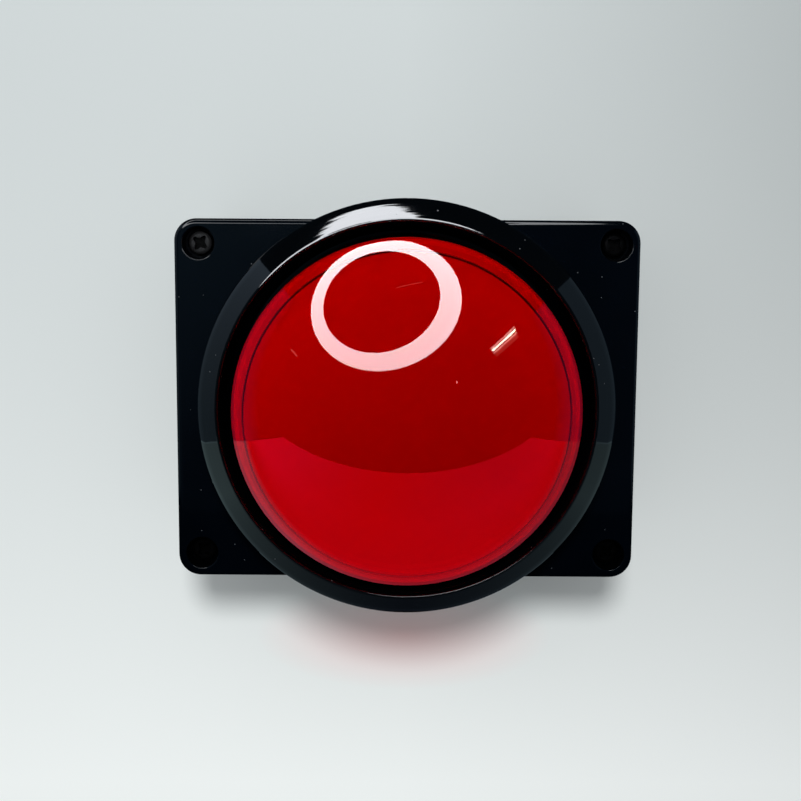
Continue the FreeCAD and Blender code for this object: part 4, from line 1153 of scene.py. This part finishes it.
sky = bpy.data.worlds.new("studio_sky")
sky.use_nodes = True
sky.node_tree.nodes.clear()
graph = Graph(sky.node_tree)
towards = graph.add("ShaderNodeTexCoord", output="Generated")
facing = graph.add("ShaderNodeVectorMath", {"operation": "DOT_PRODUCT"}, {
    0: towards, 1: tuple(GLOW_SIDE.normalized())}, "Value")
glow = graph.add("ShaderNodeBackground", {}, {
    "Color": SKY, "Strength": SKY_LEVEL + SKY_GLOW * clamped(facing) ** GLOW_SPREAD})
graph.add("ShaderNodeOutputWorld", {}, {"Surface": glow})
scene.world = sky
print("sky level", SKY_LEVEL, "and lamp", KEY_POWER, "W")

# %% [markdown]
# ## Cards for the reflections
#
# Gloss shows the room: a ring lamp above, pale side walls, a bright table top below, a tube lamp
# and a dim room all round. Each is a plain card that only reflections see, so it adds nothing to
# the light on the object. A clear card lets the ones behind it through. In the photograph the
# dome's reflections are redder and stronger than those on the black pieces, so each card is made
# for some pieces alone, and the dome has its own set.


# %% Reflection cards
def card(name, mesh, light, seen_in, clear=True):
    """A glowing card that only glossy reflections on the given pieces see. Its light is a colour,
    or a function that makes one from a graph and the X, Y and Z of a point."""
    finish, graph, point = new_finish(name)
    colour = light(graph, *axes(graph, point)) if callable(light) else rgb(*light)
    shine = graph.add("ShaderNodeEmission", {}, {"Color": colour})
    if clear:
        through = graph.add("ShaderNodeBsdfTransparent")
        shine = graph.add("ShaderNodeAddShader", {}, {0: shine, 1: through})
    graph.add("ShaderNodeOutputMaterial", {}, {"Surface": shine})
    mesh.materials.append(finish)
    thing = put(name, mesh)
    for ray in ("camera", "diffuse", "transmission", "volume_scatter", "shadow"):
        setattr(thing, "visible_" + ray, False)
    group = bpy.data.collections.new(name + "_pieces")
    for piece in seen_in:
        group.objects.link(piece)
    thing.light_linking.receiver_collection = group
    print("card", name)


def fade(graph, value, low, high):
    """From 0 to 1 as the value goes from low to high."""
    return graph.add("ShaderNodeMapRange", {}, {"Value": value, "From Min": low, "From Max": high})


dome_only = [red_dome]
bezel = frame["nodes"]["bezel"]
box_pieces = [frame["nodes"]["lid"], frame["nodes"]["base_box"], lid_screw_set]
black_pieces = [bezel] + box_pieces
print("cards for the dome, and for", len(black_pieces), "black pieces")

# %% [markdown]
# ## The ring lamp
#
# A ring lamp hangs above the dome, a little to the left, and draws the white ring near its top.
# One lamp could serve every piece, but the highlight on the bezel fits a nearly filled disc, so
# dome, bezel and box each have their own card, at almost the same place. The dome's is a little
# pinker towards its lower edge.

# %% Ring lamp
LAMP_CENTRE = Vector((-39.3 * MM, 130.0 * MM, 150.2 * MM))
LAMP_FACING = Vector((0.0, -0.7314, -0.682))
BEZEL_SHIFT = Vector((-7.6 * MM, -1 * MM, -1 * MM))
BOX_SHIFT = Vector((0.0, -2 * MM, -2 * MM))
LAMP_CORE = 20.8 * MM
LAMP_GLARE = 102.5 * MM
LAMP_OUTER = 106.9 * MM
LAMP_INNER = 78.4 * MM
LAMP_STEPS = 96
LAMP_LOW = 57 * MM
LAMP_HIGH = 203 * MM


def ring_mesh(name, centre, facing, outer, inner, steps):
    """A flat ring round a centre, turned to face one way."""
    turn = facing.to_track_quat("Z", "Y")
    angles = [math.tau * step / steps for step in range(steps)]
    rims = [[centre + turn @ Vector((reach * math.cos(angle), reach * math.sin(angle), 0.0))
             for angle in angles] for reach in (outer, inner)]
    faces = [(step, (step + 1) % steps, steps + (step + 1) % steps, steps + step)
             for step in range(steps)]
    mesh = bpy.data.meshes.new(name)
    mesh.from_pydata(rims[0] + rims[1], [], faces)
    return mesh


def lamp_on_dome(graph, x, y, z):
    return tone(graph, fade(graph, y, LAMP_LOW, LAMP_HIGH), rgb(17.0, 13.0, 13.4),
                rgb(21.0, 19.5, 20.0))


card("lamp_on_dome", ring_mesh("lamp_on_dome", LAMP_CENTRE, LAMP_FACING, LAMP_OUTER, LAMP_INNER,
                               LAMP_STEPS), lamp_on_dome, dome_only)
card("lamp_on_bezel", ring_mesh("lamp_on_bezel", LAMP_CENTRE + BEZEL_SHIFT, LAMP_FACING,
                                LAMP_GLARE, LAMP_CORE, LAMP_STEPS), (15.0, 15.4, 16.2), [bezel])
card("lamp_on_box", ring_mesh("lamp_on_box", LAMP_CENTRE + BOX_SHIFT, LAMP_FACING, LAMP_OUTER,
                              LAMP_INNER, LAMP_STEPS), (6.0, 6.2, 6.4), box_pieces)

# %% [markdown]
# ## Walls and table
#
# Two side walls and a table top show in the gloss as broad shapes with straight ends. A modelled
# room would tie them all together, while single flat cards can be set one by one against the
# photograph. Their light drifts across them, because real walls are never lit evenly. The cards
# for the black pieces stand a gap away from the dome's, so that no two lie on each other.

# %% Wall cards
WALL_LEFT = -180 * MM
WALL_RIGHT = 187 * MM
LEFT_TOP = 156 * MM
RIGHT_TOP = 128 * MM
TABLE = -50.5 * MM
TABLE_FRONT = 156 * MM
CARD_GAP = 1 * MM
WALL_SHADE = (108 * MM, 76 * MM)


def wall_mesh(name, x, top):
    """A side wall, from the table up to this height."""
    return flat_mesh(name, [(x, TABLE, 0.0), (x, top, 0.0), (x, top, TABLE_FRONT),
                            (x, TABLE, TABLE_FRONT)])


def wall_on_left(graph, x, y, z):
    return tone(graph, fade(graph, y, TABLE, LEFT_TOP) ** 1.5, rgb(0.1, 0.15, 0.19),
                rgb(0.36, 0.47, 0.6))


def wall_on_right(graph, x, y, z):
    return tone(graph, fade(graph, y, TABLE, RIGHT_TOP), rgb(0.085, 0.13, 0.17),
                rgb(0.13, 0.19, 0.25))


def wall_on_dome(graph, x, y, z):
    return tone(graph, fade(graph, z, *WALL_SHADE), rgb(0.0, 0.0, 0.0), rgb(0.4, 0.025, 0.14))


for side, wall_x, top, light in (("left", WALL_LEFT, LEFT_TOP, wall_on_left),
                                 ("right", WALL_RIGHT, RIGHT_TOP, wall_on_right)):
    inner_x = wall_x - math.copysign(CARD_GAP, wall_x)
    card(f"wall_{side}_on_black", wall_mesh(f"wall_{side}_on_black", inner_x, top), light,
         black_pieces)
    card(f"wall_{side}_on_dome", wall_mesh(f"wall_{side}_on_dome", wall_x, top), wall_on_dome,
         dome_only, clear=False)

# %% Table cards
TABLE_SPREAD = 88 * MM
TABLE_SHIFT = 15 * MM
NEAR_SHADE = (104 * MM, 84 * MM)
EDGE_SHADE = (80 * MM, 72 * MM)
EDGE_GLOW = (-40 * MM, 0.0)


def table_mesh(name, y):
    """The table top, from wall to wall."""
    return flat_mesh(name, [(WALL_LEFT, y, 0.0), (WALL_RIGHT, y, 0.0),
                            (WALL_RIGHT, y, TABLE_FRONT), (WALL_LEFT, y, TABLE_FRONT)])


def away_from_middle(graph, x):
    """From 0 in the middle of the table to 1 at its spread, on both sides."""
    return fade(graph, abs(x), 0.0, TABLE_SPREAD)


def table_on_bezel(graph, x, y, z):
    far = tone(graph, x > 0.0, rgb(0.31, 0.45, 0.47), rgb(0.19, 0.28, 0.3))
    return tone(graph, away_from_middle(graph, x) ** 1.4, rgb(0.03, 0.04, 0.06), far)


def table_on_dome(graph, x, y, z):
    far = tone(graph, fade(graph, x, -TABLE_SPREAD, TABLE_SPREAD), rgb(4.4, 0.02, 0.18),
               rgb(3.3, 0.01, 0.1))
    plain = tone(graph, away_from_middle(graph, x + TABLE_SHIFT), rgb(4.8, 0.006, 0.05), far)
    edge = tone(graph, fade(graph, x, *EDGE_GLOW), rgb(1.8, 0.36, 0.56), rgb(1.2, 0.1, 0.2))
    near = tone(graph, fade(graph, z, *NEAR_SHADE), plain, rgb(2.9, 0.006, 0.05))
    return tone(graph, fade(graph, z, *EDGE_SHADE), near, edge)


card("table_on_bezel", table_mesh("table_on_bezel", TABLE + CARD_GAP), table_on_bezel, [bezel])
card("table_on_dome", table_mesh("table_on_dome", TABLE), table_on_dome, dome_only, clear=False)

# %% [markdown]
# ## Tube lamp and glints
#
# A tube lamp draws the slanted streak on the right of the dome, with a pink edge on each side,
# and three small glints lie elsewhere. Painted marks would stay put when the view turns, so each
# is a narrow card that faces the dome and moves as a reflection does.

# %% Tube lamp and glints
TUBE = (Vector((253 * MM, 163 * MM, 304 * MM)), Vector((300.7 * MM, 201.7 * MM, 201 * MM)))
LEFT_GLINT = (Vector((-324.4 * MM, 147.8 * MM, 214 * MM)),
              Vector((-312.8 * MM, 132.5 * MM, 247.6 * MM)))
TOP_GLINT = (Vector((-32.7 * MM, 336.9 * MM, 252 * MM)), Vector((48.1 * MM, 347 * MM, 230 * MM)))
SMALL_GLINT = (Vector((156 * MM, 83 * MM, 404 * MM)), Vector((160 * MM, 85 * MM, 400 * MM)))


def tube_mesh(name, start, end, width, shift=0.0):
    """A long card whose flat side faces the dome, moved sideways by the shift."""
    along = (end - start).normalized()
    across = along.cross(start - Vector((0.0, 0.0, dome_high.z))).normalized()
    near, far = across * (shift - width / 2), across * (shift + width / 2)
    return flat_mesh(name, [start + near, end + near, end + far, start + far])


for name, ends, width, shift, light in (
        ("tube_lamp", TUBE, 5 * MM, 0.0, (40.0, 38.0, 30.0)),
        ("tube_edge_near", TUBE, 2.8 * MM, -7.5 * MM, (14.0, 7.0, 6.0)),
        ("tube_edge_far", TUBE, 3 * MM, 8.5 * MM, (15.0, 7.4, 6.0)),
        ("tube_shade", TUBE, 12 * MM, 16 * MM, (2.4, 0.4, 0.3)),
        ("left_glint", LEFT_GLINT, 2.5 * MM, 0.0, (5.0, 2.4, 2.2)),
        ("top_glint", TOP_GLINT, 2.5 * MM, 0.0, (2.4, 0.7, 0.6)),
        ("small_glint", SMALL_GLINT, 6 * MM, 0.0, (9.0, 4.0, 4.0))):
    card(name, tube_mesh(name, *ends, width, shift), light, dome_only)

# %% [markdown]
# ## The dim room
#
# What no card covers is a dim room, which keeps the black gloss from going quite dead. The sky
# could do it, but it lights the floor as well. A big ball that only the black pieces mirror is
# free of that, and it is a little brighter overhead on the upper left.

# %% Dim room
ROOM = 1.5
OVERHEAD = (0.8 * ROOM, 0.95 * ROOM)
LEFT_GLOW = (0.0, 0.2 * ROOM)


def room_mesh(name, reach, rings, steps):
    """A ball all round the part."""
    room = bmesh.new()
    bmesh.ops.create_uvsphere(room, u_segments=steps, v_segments=rings, radius=reach)
    mesh = bpy.data.meshes.new(name)
    room.to_mesh(mesh)
    room.free()
    return mesh


def room_glow(graph, x, y, z):
    glow = fade(graph, z, *OVERHEAD) * fade(graph, y - x, *LEFT_GLOW)
    return tone(graph, glow, rgb(0.01, 0.017, 0.025), rgb(0.07, 0.12, 0.16))


card("dim_room", room_mesh("dim_room", ROOM, 16, 32), room_glow, black_pieces, clear=False)
